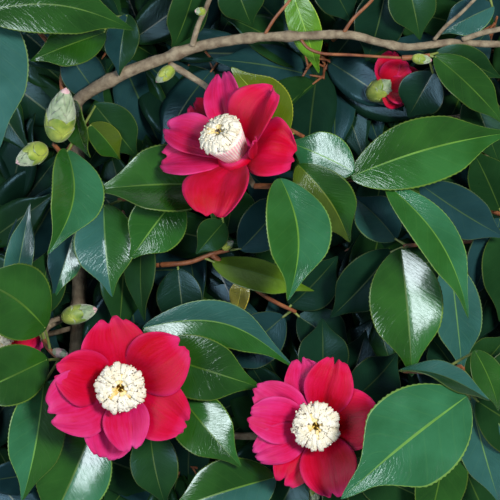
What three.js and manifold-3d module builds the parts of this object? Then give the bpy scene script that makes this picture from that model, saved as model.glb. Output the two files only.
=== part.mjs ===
// A cut flowering branch of camellia, lying on a level surface with its outer side up.
// Millimetres, +Z up. The stem's cut end is at the lower left, seen from above.
import * as THREE from 'three';
import { mergeVertices } from 'three/addons/utils/BufferGeometryUtils.js';
import Module from 'manifold-3d';

const wasm = await Module();
wasm.setup();
const { Manifold, Mesh } = wasm;

// Driving sizes, in millimetres and degrees.
const unit = 0.44;             // one step of the plan, at the height of the blooms
const planMiddle = 250;        // the plan is 500 steps a side
const eyeHeight = 780;         // the plan is drawn as seen from this height above the floor
const bloomHeight = 80;        // the height at which one step of the plan is `unit` long
const frameShift = [-1.5, 1];   // brings the middle of the whole branch to the origin
const clear = 0.35;            // gap between one solid and the next
const leafThick = 0.9;
const petalThick = 0.8;
const stalkRadius = 0.75;
const fineness = 0.1;          // bends smaller than this are left out of a solid

// A place on the plan, lifted to a height along the line of sight.
function at(x, y, z) {
  const spread = unit * (eyeHeight - z) / (eyeHeight - bloomHeight);
  return new THREE.Vector3((x - planMiddle) * spread + frameShift[0],
    (planMiddle - y) * spread + frameShift[1], z);
}
const route = (places) => places.map((place) => at(...place));

// The same run of draws each time, from a whole number.
function draws(seed) {
  let state = seed;
  return (low, high) => {
    state = (state * 16807) % 2147483647;
    return low + (high - low) * (state / 2147483647);
  };
}

// A closed solid through rings of equally many points, with a point at each end.
function loft(rings, first, last) {
  const count = rings[0].length;
  const points = [first, ...rings.flat(), last];
  const faces = [];
  const index = (ring, k) => 1 + ring * count + (k % count);
  for (let k = 0; k < count; k += 1) faces.push(0, index(0, k + 1), index(0, k));
  for (let ring = 0; ring + 1 < rings.length; ring += 1) {
    for (let k = 0; k < count; k += 1) {
      const [a, b] = [index(ring, k), index(ring, k + 1)];
      const [c, d] = [index(ring + 1, k), index(ring + 1, k + 1)];
      faces.push(a, b, c, b, d, c);
    }
  }
  const end = points.length - 1;
  for (let k = 0; k < count; k += 1) faces.push(index(rings.length - 1, k), index(rings.length - 1, k + 1), end);
  return solid(points.flatMap((point) => point.toArray()), faces);
}

function solid(positions, faces) {
  const body = new Manifold(new Mesh({
    numProp: 3,
    vertProperties: new Float32Array(positions),
    triVerts: new Uint32Array(faces),
  }));
  if (body.volume() > 0) return body;
  const turned = [];
  for (let k = 0; k < faces.length; k += 3) turned.push(faces[k], faces[k + 2], faces[k + 1]);
  return new Manifold(new Mesh({
    numProp: 3,
    vertProperties: new Float32Array(positions),
    triVerts: new Uint32Array(turned),
  }));
}

// A round limb along a smooth curve, its radius running evenly from one end to the other.
function limb(places, radii, steps = 8, sides = 7) {
  const curve = new THREE.CatmullRomCurve3(places, false, 'centripetal');
  const rings = [];
  let across = new THREE.Vector3(0, 0, 1);
  for (let step = 0; step <= steps; step += 1) {
    const part = step / steps;
    const middle = curve.getPointAt(part);
    const along = curve.getTangentAt(part);
    across = across.clone().addScaledVector(along, -across.dot(along));
    if (across.length() < 0.1) across.set(1, 0, 0).addScaledVector(along, -along.x);
    across.normalize();
    const other = along.clone().cross(across);
    const radius = radii[0] + (radii[1] - radii[0]) * part;
    rings.push([...Array(sides).keys()].map((k) => {
      const turn = (2 * Math.PI * k) / sides;
      return middle.clone().addScaledVector(across, radius * Math.cos(turn))
        .addScaledVector(other, radius * Math.sin(turn));
    }));
  }
  return loft(rings, curve.getPointAt(0), curve.getPointAt(1));
}

// Half the width of a leaf, as a share of its widest, from its foot (0) to its drawn-out tip (1).
function leafOutline(part) {
  const oval = Math.sin(Math.PI * part ** 0.82) ** 0.8;
  return oval * (1 - 0.45 * Math.max(0, (part - 0.72) / 0.28));
}

const petalOutline = (part) => Math.sin(Math.PI * (0.08 + 0.84 * part ** 1.2)) ** 0.65;

// The middle surface of a blade from foot to tip, by share of its length and of its half width.
// Fold lifts its sides, arch its middle, and roll turns it about its length.
function surfaceOf({ foot, tip, width, roll = 0, fold = 14, arch = 3, facing = [0, 0, 1],
  outline = leafOutline, bow = 1 }) {
  const axis = tip.clone().sub(foot);
  const along = axis.clone().normalize();
  const up = new THREE.Vector3(...facing);
  up.addScaledVector(along, -up.dot(along)).normalize();
  up.applyAxisAngle(along, THREE.MathUtils.degToRad(roll));
  const side = along.clone().cross(up);
  const lift = Math.tan(THREE.MathUtils.degToRad(fold));
  const place = (part, x) => {
    const half = (width / 2) * outline(part);
    const rise = arch * 4 * part * (1 - part) + Math.abs(x) ** bow * half * lift;
    const point = foot.clone().addScaledVector(axis, part).addScaledVector(side, x * half)
      .addScaledVector(up, rise);
    point.z = Math.max(point.z, part < 1 ? leafThick / 2 : 0);
    return point;
  };
  return { place, up };
}

// A thin blade with sharp sides, thickest along its middle.
function blade(plan, thick = leafThick, cells = 2) {
  const { place, up } = surfaceOf(plan);
  const across = [...Array(cells + 1).keys()].map((cell) => (2 * cell) / cells - 1);
  const inner = across.slice(1, -1).reverse();
  const rings = (plan.parts ?? [0.16, 0.46, 0.78]).map((part) => [
    ...across.map((x) => place(part, x).addScaledVector(up, Math.abs(x) < 1 ? thick / 2 : 0)),
    ...inner.map((x) => place(part, x).addScaledVector(up, -thick / 2)),
  ]);
  return loft(rings, place(0, 0), place(1, 0));
}

// A leaf with its stalk, which runs from inside the twig into the foot of the blade.
function leafOn({ from, ...plan }) {
  const inside = surfaceOf(plan).place(0.14, 0);
  const stalk = limb([from, inside], [stalkRadius, stalkRadius * 0.6], 1, 3);
  return [blade(plan), stalk];
}

const largest = (body) => body.decompose().sort((a, b) => b.volume() - a.volume())[0];
const oneBody = (bodies) => largest(Manifold.union(bodies).simplify(fineness));

const group = new THREE.Group();
group.name = 'camellia_branch';

function add(name, body, colour, roughness = 0.6) {
  const mesh = body.getMesh();
  const geometry = new THREE.BufferGeometry();
  geometry.setAttribute('position', new THREE.BufferAttribute(mesh.vertProperties, 3));
  geometry.setIndex(new THREE.BufferAttribute(mesh.triVerts, 1));
  const piece = new THREE.Mesh(mergeVertices(geometry), new THREE.MeshStandardMaterial({
    color: colour, roughness, metalness: 0 }));
  piece.name = name;
  group.add(piece);
}

const bark = 0x8c7560;
const redBark = 0x9a4a2c;
const leafGreen = 0x2f6a24;
const deepGreen = 0x1d4020;
const petalRed = 0xc8102e;
const stamenWhite = 0xf2ead2;
const budGreen = 0xa9b86a;

// The stem, in two limbs that meet at its bend, and the boughs and twigs that leave it.
const stemRadius = 4.4;
const bendRadius = 2.9;
const tipRadius = 1.3;
const limbs = {
  stem_lower: { route: [[58, 548, 7], [66, 480, 11], [74, 400, 16], [79, 300, 24], [80, 200, 33],
    [76, 130, 43], [76, 104, 49]], radii: [stemRadius, bendRadius], steps: 9, sides: 7 },
  stem_upper: { on: 'stem_lower', route: [[76, 104, 49], [84, 95, 52], [132, 70, 56], [168, 57, 57],
    [200, 46, 57], [250, 38, 58], [300, 36, 58], [350, 35, 58], [382, 43, 57], [405, 47, 57],
    [450, 43, 57], [500, 44, 56], [548, 40, 54]], radii: [bendRadius, tipRadius], steps: 13, sides: 7 },
  bough_corner: { on: 'stem_lower', route: [[77, 122, 44.5], [66, 106, 45], [62, 84, 48], [62, 62, 51],
    [34, 26, 56]],
    radii: [1.4, 1.0], steps: 4, colour: redBark },
  bough_middle: { on: 'stem_upper', route: [[170, 64, 55], [190, 76, 56], [212, 92, 56], [232, 125, 58],
    [243, 165, 64], [254, 186, 72]], radii: [1.5, 1.2], steps: 7 },
  bough_left: { on: 'stem_lower', route: [[80, 310, 24], [62, 318, 34], [46, 328, 42], [44, 340, 48]],
    radii: [2.1, 1.7], steps: 4 },
  bough_centre: { on: 'stem_lower', route: [[80, 262, 28], [120, 268, 34], [160, 265, 42]],
    radii: [1.5, 1.1], steps: 4, colour: redBark },
  bough_bloom: { on: 'stem_lower', route: [[76, 380, 18], [96, 388, 32], [119, 387, 47]],
    radii: [2.0, 1.6], steps: 4 },
  bough_lower: { on: 'stem_lower', route: [[72, 412, 15], [120, 424, 20], [190, 432, 26], [250, 436, 34],
    [300, 430, 46]], radii: [2.2, 1.6], steps: 6 },
  bough_right: { on: 'stem_upper', route: [[462, 44, 54], [482, 80, 44], [488, 150, 38], [478, 240, 38],
    [464, 320, 43], [462, 366, 52]], radii: [1.6, 1.4], steps: 7 },
  bough_buds: { on: 'stem_lower', route: [[80, 190, 34], [72, 172, 42], [62, 156, 54]],
    radii: [1.9, 1.5], steps: 3 },
  twig_top_left: { on: 'stem_upper', route: [[192, 46, 59], [198, 26, 61], [205, 10, 61], [218, -22, 60]],
    radii: [1.4, 1.0], steps: 4 },
  twig_top_middle: { on: 'stem_upper', route: [[265, 34, 59], [275, 18, 62], [291, -2, 63], [300, -24, 62]],
    radii: [0.8, 0.6], steps: 4, colour: redBark },
  twig_top_right: { on: 'stem_upper', route: [[344, 32, 59], [353, 19, 62], [372, 0, 63], [388, -22, 62]],
    radii: [0.9, 0.6], steps: 4, colour: redBark },
  twig_corner: { on: 'stem_upper', route: [[434, 40, 58], [445, 27, 61], [460, 14, 62], [482, -8, 62]],
    radii: [0.9, 0.7], steps: 4 },
  twig_fork: { on: 'stem_upper', route: [[462, 40, 58], [482, 33, 60], [504, 28, 60], [534, 16, 58]],
    radii: [1.3, 1.0], steps: 3 },
  twig_bloom_4: { on: 'stem_lower', route: [[79, 326, 21], [40, 336, 21], [10, 339, 24], [-1, 338, 30]],
    radii: [1.3, 1.1], steps: 4 },
  twig_bloom_5: { on: 'bough_right', route: [[486, 112, 41.5], [440, 118, 35], [395, 110, 33], [373, 96, 36.5]],
    radii: [1.2, 0.9], steps: 4 },
  twig_bud: { on: 'bough_left', route: [[50, 325.5, 40], [52, 321, 42], [55.4, 319.7, 42.9],
    [61.3, 318.2, 43.88]], radii: [1.2, 1.1], steps: 3 },
  twig_shoot: { on: 'stem_upper', route: [[301, 40, 59], [308, 48, 60], [320, 53, 61], [352, 55, 61],
    [402, 58, 61]], radii: [0.75, 0.6], steps: 6, colour: redBark },
};

function limbBody(plan, wider = 0) {
  const places = route(plan.route);
  const [before, end] = places.slice(-2);
  end.addScaledVector(end.clone().sub(before).normalize(), wider);
  return limb(places, plan.radii.map((radius) => radius + wider), plan.steps, plan.sides ?? 5);
}

// A bough or twig ends a little clear of the limb that it leaves.
for (const [name, plan] of Object.entries(limbs)) {
  let body = limbBody(plan);
  if (plan.on) body = largest(body.subtract(limbBody(limbs[plan.on], clear)));
  add(name, body, plan.colour ?? bark, 0.8);
}

// A bloom faces along its own axis. Each petal's tip is on the plan, so far off the corolla's plane.
const blooms = {
  bloom_1: {
    middle: [227, 142, 90], facing: [-0.439, 0.505, 0.743], boss: [5.5, 10, -8, 9],
    petals: [
      { tip: [222, 80], off: 0, width: 25 }, { tip: [272, 90], off: 0, width: 27 },
      { tip: [291, 156], off: -12, width: 26 }, { tip: [213, 214], off: -9, width: 27 },
      { tip: [164, 160], off: -2, width: 22 }, { tip: [168, 128], off: -1, width: 21 },
    ],
  },
  bloom_2: {
    middle: [121, 387, 78], facing: [0.03, 0.02, 0.999], boss: [7, 11, -6, 9],
    petals: [
      { tip: [110, 321], off: 0, width: 27 }, { tip: [181, 346], off: 1, width: 27 },
      { tip: [182, 424], off: 0, width: 23 }, { tip: [131, 446], off: 2, width: 19 },
      { tip: [106, 456], off: -4, width: 22 }, { tip: [56, 416], off: 1, width: 28 },
      { tip: [62, 366], off: -2, width: 21 },
    ],
  },
  bloom_3: {
    middle: [317, 426, 78], facing: [-0.12, 0.1, 0.988], boss: [7, 10.5, -6, 9],
    petals: [
      { tip: [302, 361], off: -3, width: 19 }, { tip: [337, 361], off: 0, width: 20 },
      { tip: [377, 414], off: 0, width: 25 }, { tip: [337, 494], off: 1, width: 23 },
      { tip: [284, 482], off: 0, width: 18 }, { tip: [257, 455], off: -2, width: 16 },
      { tip: [251, 416], off: 1, width: 19 }, { tip: [258, 389], off: -3, width: 17 },
    ],
  },
  bloom_4: {
    middle: [-2, 338, 43], facing: [0.05, 0, 0.998], boss: [4.5, 7.2, -3.3, 7],
    petals: [
      { tip: [-4, 295], off: 0, width: 20 }, { tip: [38, 322], off: -1, width: 20 },
      { tip: [38, 356], off: -2, width: 19 }, { tip: [-2, 384], off: -1, width: 21 },
      { tip: [-44, 358], off: 0, width: 20 }, { tip: [-44, 318], off: -1, width: 20 },
    ],
  },
};

const petalBlade = (plan) => blade({ ...plan, outline: petalOutline, bow: 2 }, petalThick, 3);

// The place over x, y on the plan that lies so far off the plane through the bloom's middle.
function offPlane(x, y, off, middle, facing) {
  let { z } = middle;
  for (let step = 0; step < 6; step += 1) {
    const arm = at(x, y, z).sub(middle);
    z = middle.z + (off - arm.x * facing.x - arm.y * facing.y) / facing.z;
  }
  return at(x, y, z);
}

// A turned body along an axis, from its [radius, height] outline, with a point at each end.
function turned(middle, axis, outline, sides = 10, bottom = 0, top = 0) {
  const across = new THREE.Vector3(0.31, 0.17, 0.2).cross(axis).normalize();
  const other = axis.clone().cross(across);
  const place = (height) => middle.clone().addScaledVector(axis, height);
  const rings = outline.map(([radius, height]) => [...Array(sides).keys()].map((k) => {
    const turn = (2 * Math.PI * k) / sides;
    return place(height).addScaledVector(across, radius * Math.cos(turn))
      .addScaledVector(other, radius * Math.sin(turn));
  }));
  return loft(rings, place(outline[0][1] - bottom), place(outline[outline.length - 1][1] + top));
}

// Where a stalk ends below a bloom or bud: the place, and the way that the stalk comes in.
const seats = {};

for (const [name, plan] of Object.entries(blooms)) {
  const middle = at(...plan.middle);
  const facing = new THREE.Vector3(...plan.facing).normalize();
  const [low, wide, base, top] = plan.boss;
  const boss = turned(middle, facing, [[low, base], [(low + wide) / 2, (base + top) / 2], [wide, top - 2],
    [wide - 3, top]], 12);
  const bodies = [turned(middle, facing, [[1.4, base - 9], [low * 0.8, base - 5], [low + 2, base - 1]], 7)];
  seats[name] = { place: middle.clone().addScaledVector(facing, base - 9 - clear), way: facing };
  plan.petals.forEach((petal, k) => {
    // Petals lie over and under each other in turn.
    const layer = k % 2 ? 1.8 : 0;
    const tip = offPlane(...petal.tip, petal.off + layer, middle, facing);
    const out = tip.clone().sub(middle);
    out.addScaledVector(facing, -out.dot(facing)).normalize();
    const foot = middle.clone().addScaledVector(facing, base - 3.4 + layer * 0.7)
      .addScaledVector(out, low - 1);
    bodies.push(petalBlade({ foot, tip, width: petal.width, facing: facing.toArray(), fold: 7, arch: 4,
      parts: [0.12, 0.55, 0.9] }));
  });
  add(name, oneBody(bodies), petalRed, 0.5);
  add(`${name}_stamens`, boss, stamenWhite, 0.8);
}

// The bloom that shows its side, half open, and the buds.
const upright = (from, to) => to.clone().sub(from).normalize();
function sideBloom() {
  const [foot, mouth] = [at(372, 93, 38), at(398, 78, 42)];
  const axis = upright(foot, mouth);
  const bodies = [turned(foot, axis, [[1.4, 0], [5, 3], [5.6, 7], [4.6, 11]], 8)];
  for (const tip of [[392, 52, 43], [409, 66, 48], [424, 80, 40], [404, 102, 38]]) {
    const out = at(...tip);
    bodies.push(petalBlade({ foot: foot.clone().addScaledVector(axis, 4), tip: out, width: 17,
      facing: [-axis.x * 0.3, -axis.y * 0.3, 1], fold: 10, arch: 3, parts: [0.2, 0.55, 0.9] }));
  }
  add('bloom_5', largest(oneBody(bodies).subtract(limbBody(limbs.twig_bloom_5, clear))), petalRed, 0.5);
}
sideBloom();

const buds = {
  bud_1: { foot: [56.5, 141, 66], tip: [66, 88, 80], width: 13.5 },
  bud_2: { foot: [47, 147, 62], tip: [16, 163, 66], width: 9.5 },
  bud_3: { foot: [62, 318, 44], tip: [97, 309, 50], width: 8.5 },
};
function budBody(foot, tip, width) {
  const long = foot.distanceTo(tip);
  const outline = [[0.2, 0], [0.38, 0.1], [0.5, 0.38], [0.42, 0.68], [0.2, 0.92]]
    .map(([radius, share]) => [radius * width, share * long]);
  return turned(foot, upright(foot, tip), outline, 7, 0, 0.08 * long);
}
for (const [name, { foot, tip, width }] of Object.entries(buds)) {
  const [from, to] = [at(...foot), at(...tip)];
  add(name, budBody(from, to, width), budGreen);
  const way = upright(from, to);
  seats[name] = { place: from.clone().addScaledVector(way, -clear), way };
}

// Places along the middle of a twig that is made of so many straight lengths.
const twigLengths = 3;
function alongTwig(places) {
  const curve = new THREE.CatmullRomCurve3(places, false, 'centripetal');
  return [...Array(25).keys()].map((k) => {
    const part = (0.03 + (0.94 * k) / 24) * twigLengths;
    const start = Math.floor(part);
    return curve.getPointAt(start / twigLengths).lerp(curve.getPointAt((start + 1) / twigLengths), part - start);
  });
}

// A stalk leaves the twig at the place nearest to a point a little behind the leaf's foot.
function stalkRoot(foot, tip, places) {
  const behind = foot.clone().addScaledVector(tip.clone().sub(foot).normalize(), -4);
  return places.reduce((a, b) => (a.distanceTo(behind) < b.distanceTo(behind) ? a : b));
}

// Leafy shoots: twigs that leave one stem, and the leaves seen from above, each with its foot and tip
// on the plan, its width, and the twig that its stalk reaches back to.
const shoots = {
  shoot_corner: {
    on: 'bough_corner',
    twigs: [[[34, 26, 56], [10, 8, 62], [-14, 8, 68]], [[34, 26, 56], [80, 12, 60], [112, 18, 62]]],
    leaves: [
      { foot: [-20, 12, 80], tip: [134, 30, 92], width: 26, roll: 14, fold: 16, arch: 4 },
      { foot: [-12, 0, 76], tip: [0, 148, 78], width: 30, roll: -20, fold: 10, arch: 5 },
      { foot: [106, 32, 66], tip: [30, 61, 68], width: 19, roll: -14, fold: 12, arch: 3 },
      { foot: [128, 14, 62], tip: [119, 76, 60], width: 17, roll: 10, fold: 14, arch: 2 },
      { foot: [-20, 0, 64], tip: [-62, -38, 52], width: 28, roll: 0, fold: 14, arch: 4 },
      { foot: [40, 6, 58], tip: [60, -52, 48], width: 27, roll: 10, fold: 14, arch: 4 },
    ],
  },
  shoot_buds: {
    on: 'bough_buds',
    carries: ['bud_1', 'bud_2'],
    twigs: [[[62, 156, 54], [57, 148, 60], [53, 144, 62]], [[62, 156, 54], [68, 150, 59], [74, 140, 62]]],
    leaves: [
      { foot: [66, 149, 64], tip: [48, 254, 86], width: 23, roll: -24, fold: 24, arch: 5 },
      { foot: [75, 100, 66], tip: [90, 158, 62], width: 12, roll: 52, fold: 20, arch: 2 },
      { foot: [90, 124, 56], tip: [120, 160, 50], width: 14, roll: -24, fold: 8, arch: 2 },
      { foot: [94, 104, 54], tip: [138, 158, 46], width: 21, roll: 6, fold: 6, arch: 1 },
    ],
  },
  shoot_west: {
    on: 'bough_middle',
    carries: ['bloom_1'],
    twigs: [[[248.5, 175.5, 68], [216, 190, 66], [176, 194, 62], [118, 200, 56]]],
    leaves: [
      { foot: [226, 186, 65], tip: [95, 190, 72], width: 30, roll: -5, fold: 7, arch: 2 },
      { foot: [178, 196, 66], tip: [129, 260, 70], width: 26, roll: 8, fold: 10, arch: 3 },
      { foot: [104, 204, 58], tip: [112, 297, 64], width: 29, roll: 6, fold: 14, arch: 4 },
      { foot: [146, 214, 52], tip: [144, 322, 46], width: 18, roll: 30, fold: 12, arch: 3 },
      { foot: [224, 222, 58], tip: [196, 254, 62], width: 15, roll: -10, fold: 14, arch: 2 },
    ],
  },
  shoot_east: {
    on: 'bough_middle',
    buds: [{ foot: [397, 181, 78], tip: [429, 176, 82], width: 5 }],
    twigs: [[[254, 186, 72], [300, 186, 74], [345, 180, 76], [398, 181, 78]]],
    leaves: [
      { foot: [280, 178, 82], tip: [288, 301, 88], width: 29, roll: 6, fold: 14, arch: 5 },
      { foot: [298, 164, 80], tip: [350, 243, 72], width: 20, roll: -30, fold: 22, arch: 4 },
      { foot: [350, 177, 82], tip: [512, 132, 88], width: 29, roll: -6, fold: 12, arch: 4 },
      { foot: [386, 184, 84], tip: [469, 318, 92], width: 19, roll: 8, fold: 10, arch: 5 },
      { foot: [330, 176, 70], tip: [300, 130, 60], width: 25, roll: -12, fold: 8, arch: 4 },
      { foot: [420, 184, 70], tip: [506, 238, 62], width: 22, roll: 8, fold: 14, arch: 3 },
    ],
  },
  shoot_centre: {
    on: 'bough_centre',
    twigs: [[[160, 265, 42], [190, 262, 47], [212, 254, 50], [229, 250, 53]],
      [[212, 255, 50], [232, 270, 48], [268, 298, 44], [296, 312, 42]]],
    leaves: [
      { foot: [212, 262, 50], tip: [314, 292, 56], width: 17, roll: 150, fold: 10, arch: -3 },
      { foot: [240, 250, 52], tip: [292, 192, 50], width: 22, roll: 10, fold: 12, arch: 3 },
      { foot: [226, 234, 52], tip: [232, 176, 48], width: 22, roll: -10, fold: 12, arch: 2 },
      { foot: [244, 279, 46], tip: [236, 318, 40], width: 11, roll: 30, fold: 10, arch: 1 },
      { foot: [178, 268, 44], tip: [186, 332, 40], width: 22, roll: 10, fold: 12, arch: 2 },
      { foot: [298, 316, 42], tip: [352, 352, 42], width: 23, roll: -14, fold: 12, arch: 2 },
      { foot: [290, 306, 42], tip: [338, 256, 44], width: 23, roll: 8, fold: 12, arch: 3 },
    ],
  },
  shoot_left: {
    on: 'bough_left',
    twigs: [[[44, 340, 48], [50, 350, 52], [60, 360, 54]]],
    leaves: [
      { foot: [46, 329, 62], tip: [-36, 276, 74], width: 34, roll: 8, fold: 12, arch: 4 },
      { foot: [48, 359, 62], tip: [-40, 400, 76], width: 27, roll: 6, fold: 14, arch: 4 },
      { foot: [44, 380, 58], tip: [22, 502, 62], width: 26, roll: -16, fold: 10, arch: 3 },
      { foot: [36, 318, 56], tip: [53, 244, 50], width: 20, roll: -14, fold: 10, arch: 3 },
      { foot: [20, 318, 56], tip: [30, 203, 50], width: 18, roll: 24, fold: 10, arch: 3 },
    ],
  },
  shoot_bloom: {
    on: 'bough_bloom',
    carries: ['bloom_2'],
    twigs: [[[119, 387, 47], [121, 391, 52]]],
    leaves: [
      { foot: [150, 352, 56], tip: [262, 388, 66], width: 24, roll: 10, fold: 14, arch: 4 },
      { foot: [176, 390, 57], tip: [241, 467, 62], width: 23, roll: -12, fold: 10, arch: 4 },
      { foot: [142, 330, 50], tip: [294, 368, 54], width: 22, roll: 16, fold: 10, arch: 9 },
      { foot: [96, 424, 51], tip: [46, 532, 53], width: 30, roll: -6, fold: 14, arch: 4 },
      { foot: [150, 428, 50], tip: [166, 506, 48], width: 23, roll: 8, fold: 12, arch: 3 },
    ],
  },
  shoot_lower: {
    on: 'bough_lower',
    carries: ['bloom_3'],
    buds: [{ foot: [308, 482, 46], tip: [316, 504, 52], width: 7 }],
    twigs: [[[300, 430, 46], [306, 428, 52], [311, 427, 55]], [[306, 428, 52], [306, 456, 48], [308, 486, 47]]],
    leaves: [
      { foot: [276, 477, 60], tip: [168, 512, 64], width: 25, roll: 8, fold: 14, arch: 4 },
      { foot: [352, 462, 50], tip: [440, 504, 46], width: 25, roll: 8, fold: 12, arch: 4 },
      { foot: [330, 470, 50], tip: [372, 548, 44], width: 26, roll: -8, fold: 12, arch: 4 },
      { foot: [300, 470, 48], tip: [262, 552, 44], width: 25, roll: 8, fold: 12, arch: 4 },
      { foot: [322, 384, 52], tip: [322, 318, 50], width: 24, roll: 8, fold: 14, arch: 3 },
      { foot: [352, 400, 50], tip: [398, 352, 48], width: 24, roll: 8, fold: 14, arch: 3 },
    ],
  },
  shoot_right: {
    on: 'bough_right',
    twigs: [[[462, 366, 52], [463, 384, 66], [466, 394, 84]], [[462, 366, 52], [442, 372, 74], [404, 371, 89]]],
    leaves: [
      { foot: [465, 399, 100], tip: [341, 499, 112], width: 41, roll: 6, fold: 9, arch: 5 },
      { foot: [398, 371, 93], tip: [498, 408, 95], width: 27, roll: -48, fold: 16, arch: 5 },
      { foot: [470, 396, 66], tip: [498, 500, 56], width: 24, roll: 12, fold: 12, arch: 4 },
      { foot: [480, 380, 62], tip: [560, 360, 52], width: 27, roll: 8, fold: 14, arch: 4 },
      { foot: [476, 400, 70], tip: [560, 452, 58], width: 29, roll: 8, fold: 14, arch: 4 },
    ],
  },
  shoot_spread: {
    on: 'bough_right',
    twigs: [[[478, 240, 38], [440, 243, 52], [404, 246, 64]]],
    leaves: [
      { foot: [401, 248, 70], tip: [412, 377, 77], width: 33, roll: -6, fold: 10, arch: 4 },
      { foot: [444, 258, 54], tip: [450, 350, 54], width: 24, roll: 10, fold: 14, arch: 3 },
      { foot: [392, 250, 60], tip: [330, 318, 52], width: 24, roll: -8, fold: 12, arch: 3 },
      { foot: [396, 240, 58], tip: [352, 196, 54], width: 22, roll: -8, fold: 12, arch: 3 },
    ],
  },
  shoot_edge: {
    on: 'bough_right',
    twigs: [[[482.5, 205, 38], [500, 214, 46], [520, 216, 50]]],
    leaves: [
      { foot: [506, 226, 50], tip: [500, 322, 52], width: 25, roll: 8, fold: 14, arch: 3 },
      { foot: [528, 220, 54], tip: [566, 292, 46], width: 28, roll: -8, fold: 14, arch: 4 },
      { foot: [526, 208, 54], tip: [566, 150, 46], width: 27, roll: 8, fold: 14, arch: 4 },
    ],
  },
  shoot_tip: {
    on: 'twig_shoot',
    twigs: [[[402, 58, 61], [418, 57, 62], [430, 55, 63]]],
    leaves: [
      { foot: [434, 56, 64], tip: [504, 124, 66], width: 19, roll: -14, fold: 10, arch: 4 },
      { foot: [434, 72, 56], tip: [408, 118, 46], width: 22, roll: 10, fold: 12, arch: 2 },
    ],
  },
  shoot_top_left: {
    on: 'twig_top_left',
    twigs: [[[218, -22, 60], [222, -34, 60], [226, -46, 58]]],
    leaves: [
      { foot: [196, -18, 56], tip: [172, 50, 50], width: 20, roll: -30, fold: 12, arch: 3 },
      { foot: [214, -44, 58], tip: [140, -30, 56], width: 26, roll: 10, fold: 12, arch: 4 },
      { foot: [232, -24, 56], tip: [252, 26, 50], width: 22, roll: 8, fold: 12, arch: 3 },
    ],
  },
  shoot_top_middle: {
    on: 'twig_top_middle',
    twigs: [[[300, -24, 62], [304, -36, 60], [306, -46, 58]]],
    leaves: [
      { foot: [290, -14, 56], tip: [319, 74, 48], width: 15, roll: 14, fold: 12, arch: 2 },
      { foot: [318, -34, 56], tip: [352, 24, 50], width: 22, roll: -10, fold: 12, arch: 3 },
      { foot: [296, -52, 54], tip: [252, -62, 50], width: 20, roll: 8, fold: 12, arch: 3 },
    ],
  },
  shoot_top_right: {
    on: 'twig_top_right',
    twigs: [[[388, -22, 62], [394, -34, 60], [400, -44, 58]]],
    leaves: [
      { foot: [386, -12, 54], tip: [366, 62, 46], width: 24, roll: -8, fold: 12, arch: 3 },
      { foot: [406, -24, 56], tip: [420, 40, 48], width: 22, roll: 8, fold: 12, arch: 3 },
      { foot: [412, -46, 56], tip: [462, -58, 50], width: 22, roll: 8, fold: 12, arch: 3 },
    ],
  },
  shoot_top_corner: {
    on: 'twig_corner',
    twigs: [[[482, -8, 62], [490, -18, 60], [496, -28, 58]]],
    leaves: [
      { foot: [494, 6, 56], tip: [440, 34, 50], width: 17, roll: 20, fold: 12, arch: 2 },
      { foot: [506, -34, 56], tip: [560, -60, 50], width: 25, roll: 8, fold: 12, arch: 3 },
    ],
  },
  shoot_far: {
    on: 'stem_upper',
    twigs: [[[548, 40, 54], [558, 44, 54], [566, 50, 54]]],
    leaves: [
      { foot: [556, 56, 56], tip: [520, 116, 54], width: 25, roll: 8, fold: 12, arch: 3 },
      { foot: [566, 40, 56], tip: [572, -30, 50], width: 26, roll: 8, fold: 12, arch: 3 },
    ],
  },
};

for (const [name, plan] of Object.entries(shoots)) {
  const twigs = plan.twigs.map(route);
  const bodies = twigs.map((twig) => limb(twig, [1.3, 0.9], twigLengths, 3));
  const places = twigs.flatMap(alongTwig);
  for (const leaf of plan.leaves) {
    const [foot, tip] = [at(...leaf.foot), at(...leaf.tip)];
    bodies.push(...leafOn({ ...leaf, foot, tip, from: stalkRoot(foot, tip, places) }));
  }
  for (const seated of plan.carries ?? []) {
    const { place, way } = seats[seated];
    const below = place.clone().addScaledVector(way, -4);
    const from = places.reduce((a, b) => (a.distanceTo(below) < b.distanceTo(below) ? a : b));
    bodies.push(limb([from, below, place], [1, 1.1], 2, 4));
  }
  for (const { foot, tip, width } of plan.buds ?? []) {
    bodies.push(budBody(at(...foot), at(...tip), width));
  }
  add(name, largest(oneBody(bodies).subtract(limbBody(limbs[plan.on], clear))), leafGreen);
}

// Foliage behind: each mass keeps to its own space under the shoots, with twigs that branch by a
// seeded rule from one stem, and leaves along them. Its space is given by its corners on the plan.
const spreadTop = 33;
const spreads = {
  spread_1: { on: 'stem_lower', from: [77, 140, 41], seed: 11, space: [-72, -52, 66, 148] },
  spread_2: { on: 'stem_lower', from: [80, 250, 28], seed: 23, space: [-72, 152, 66, 345] },
  spread_3: { on: 'stem_lower', from: [69, 450, 13], seed: 31, space: [-72, 349, 50, 562] },
  spread_4: { on: 'stem_lower', from: [77, 132, 42], seed: 41, space: [90, -52, 244, 148] },
  spread_5: { on: 'stem_lower', from: [80, 235, 29], seed: 53, space: [90, 152, 244, 345] },
  spread_6: { on: 'stem_lower', from: [69, 455, 13], seed: 67, space: [84, 349, 244, 562] },
  spread_7: { on: 'stem_upper', from: [338, 35, 58], seed: 71, space: [248, -52, 402, 148] },
  spread_8: { on: 'bough_right', from: [482, 190, 38], seed: 83, space: [248, 152, 402, 345] },
  spread_9: { on: 'bough_lower', from: [262, 434, 36], seed: 91, space: [248, 349, 402, 562] },
  spread_10: { on: 'bough_right', from: [484, 92, 43], seed: 101, space: [406, -52, 566, 148] },
  spread_11: { on: 'bough_right', from: [479, 236, 38], seed: 113, space: [406, 152, 566, 345] },
  spread_12: { on: 'bough_right', from: [463, 350, 48], seed: 127, space: [406, 349, 566, 562] },
};

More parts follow.
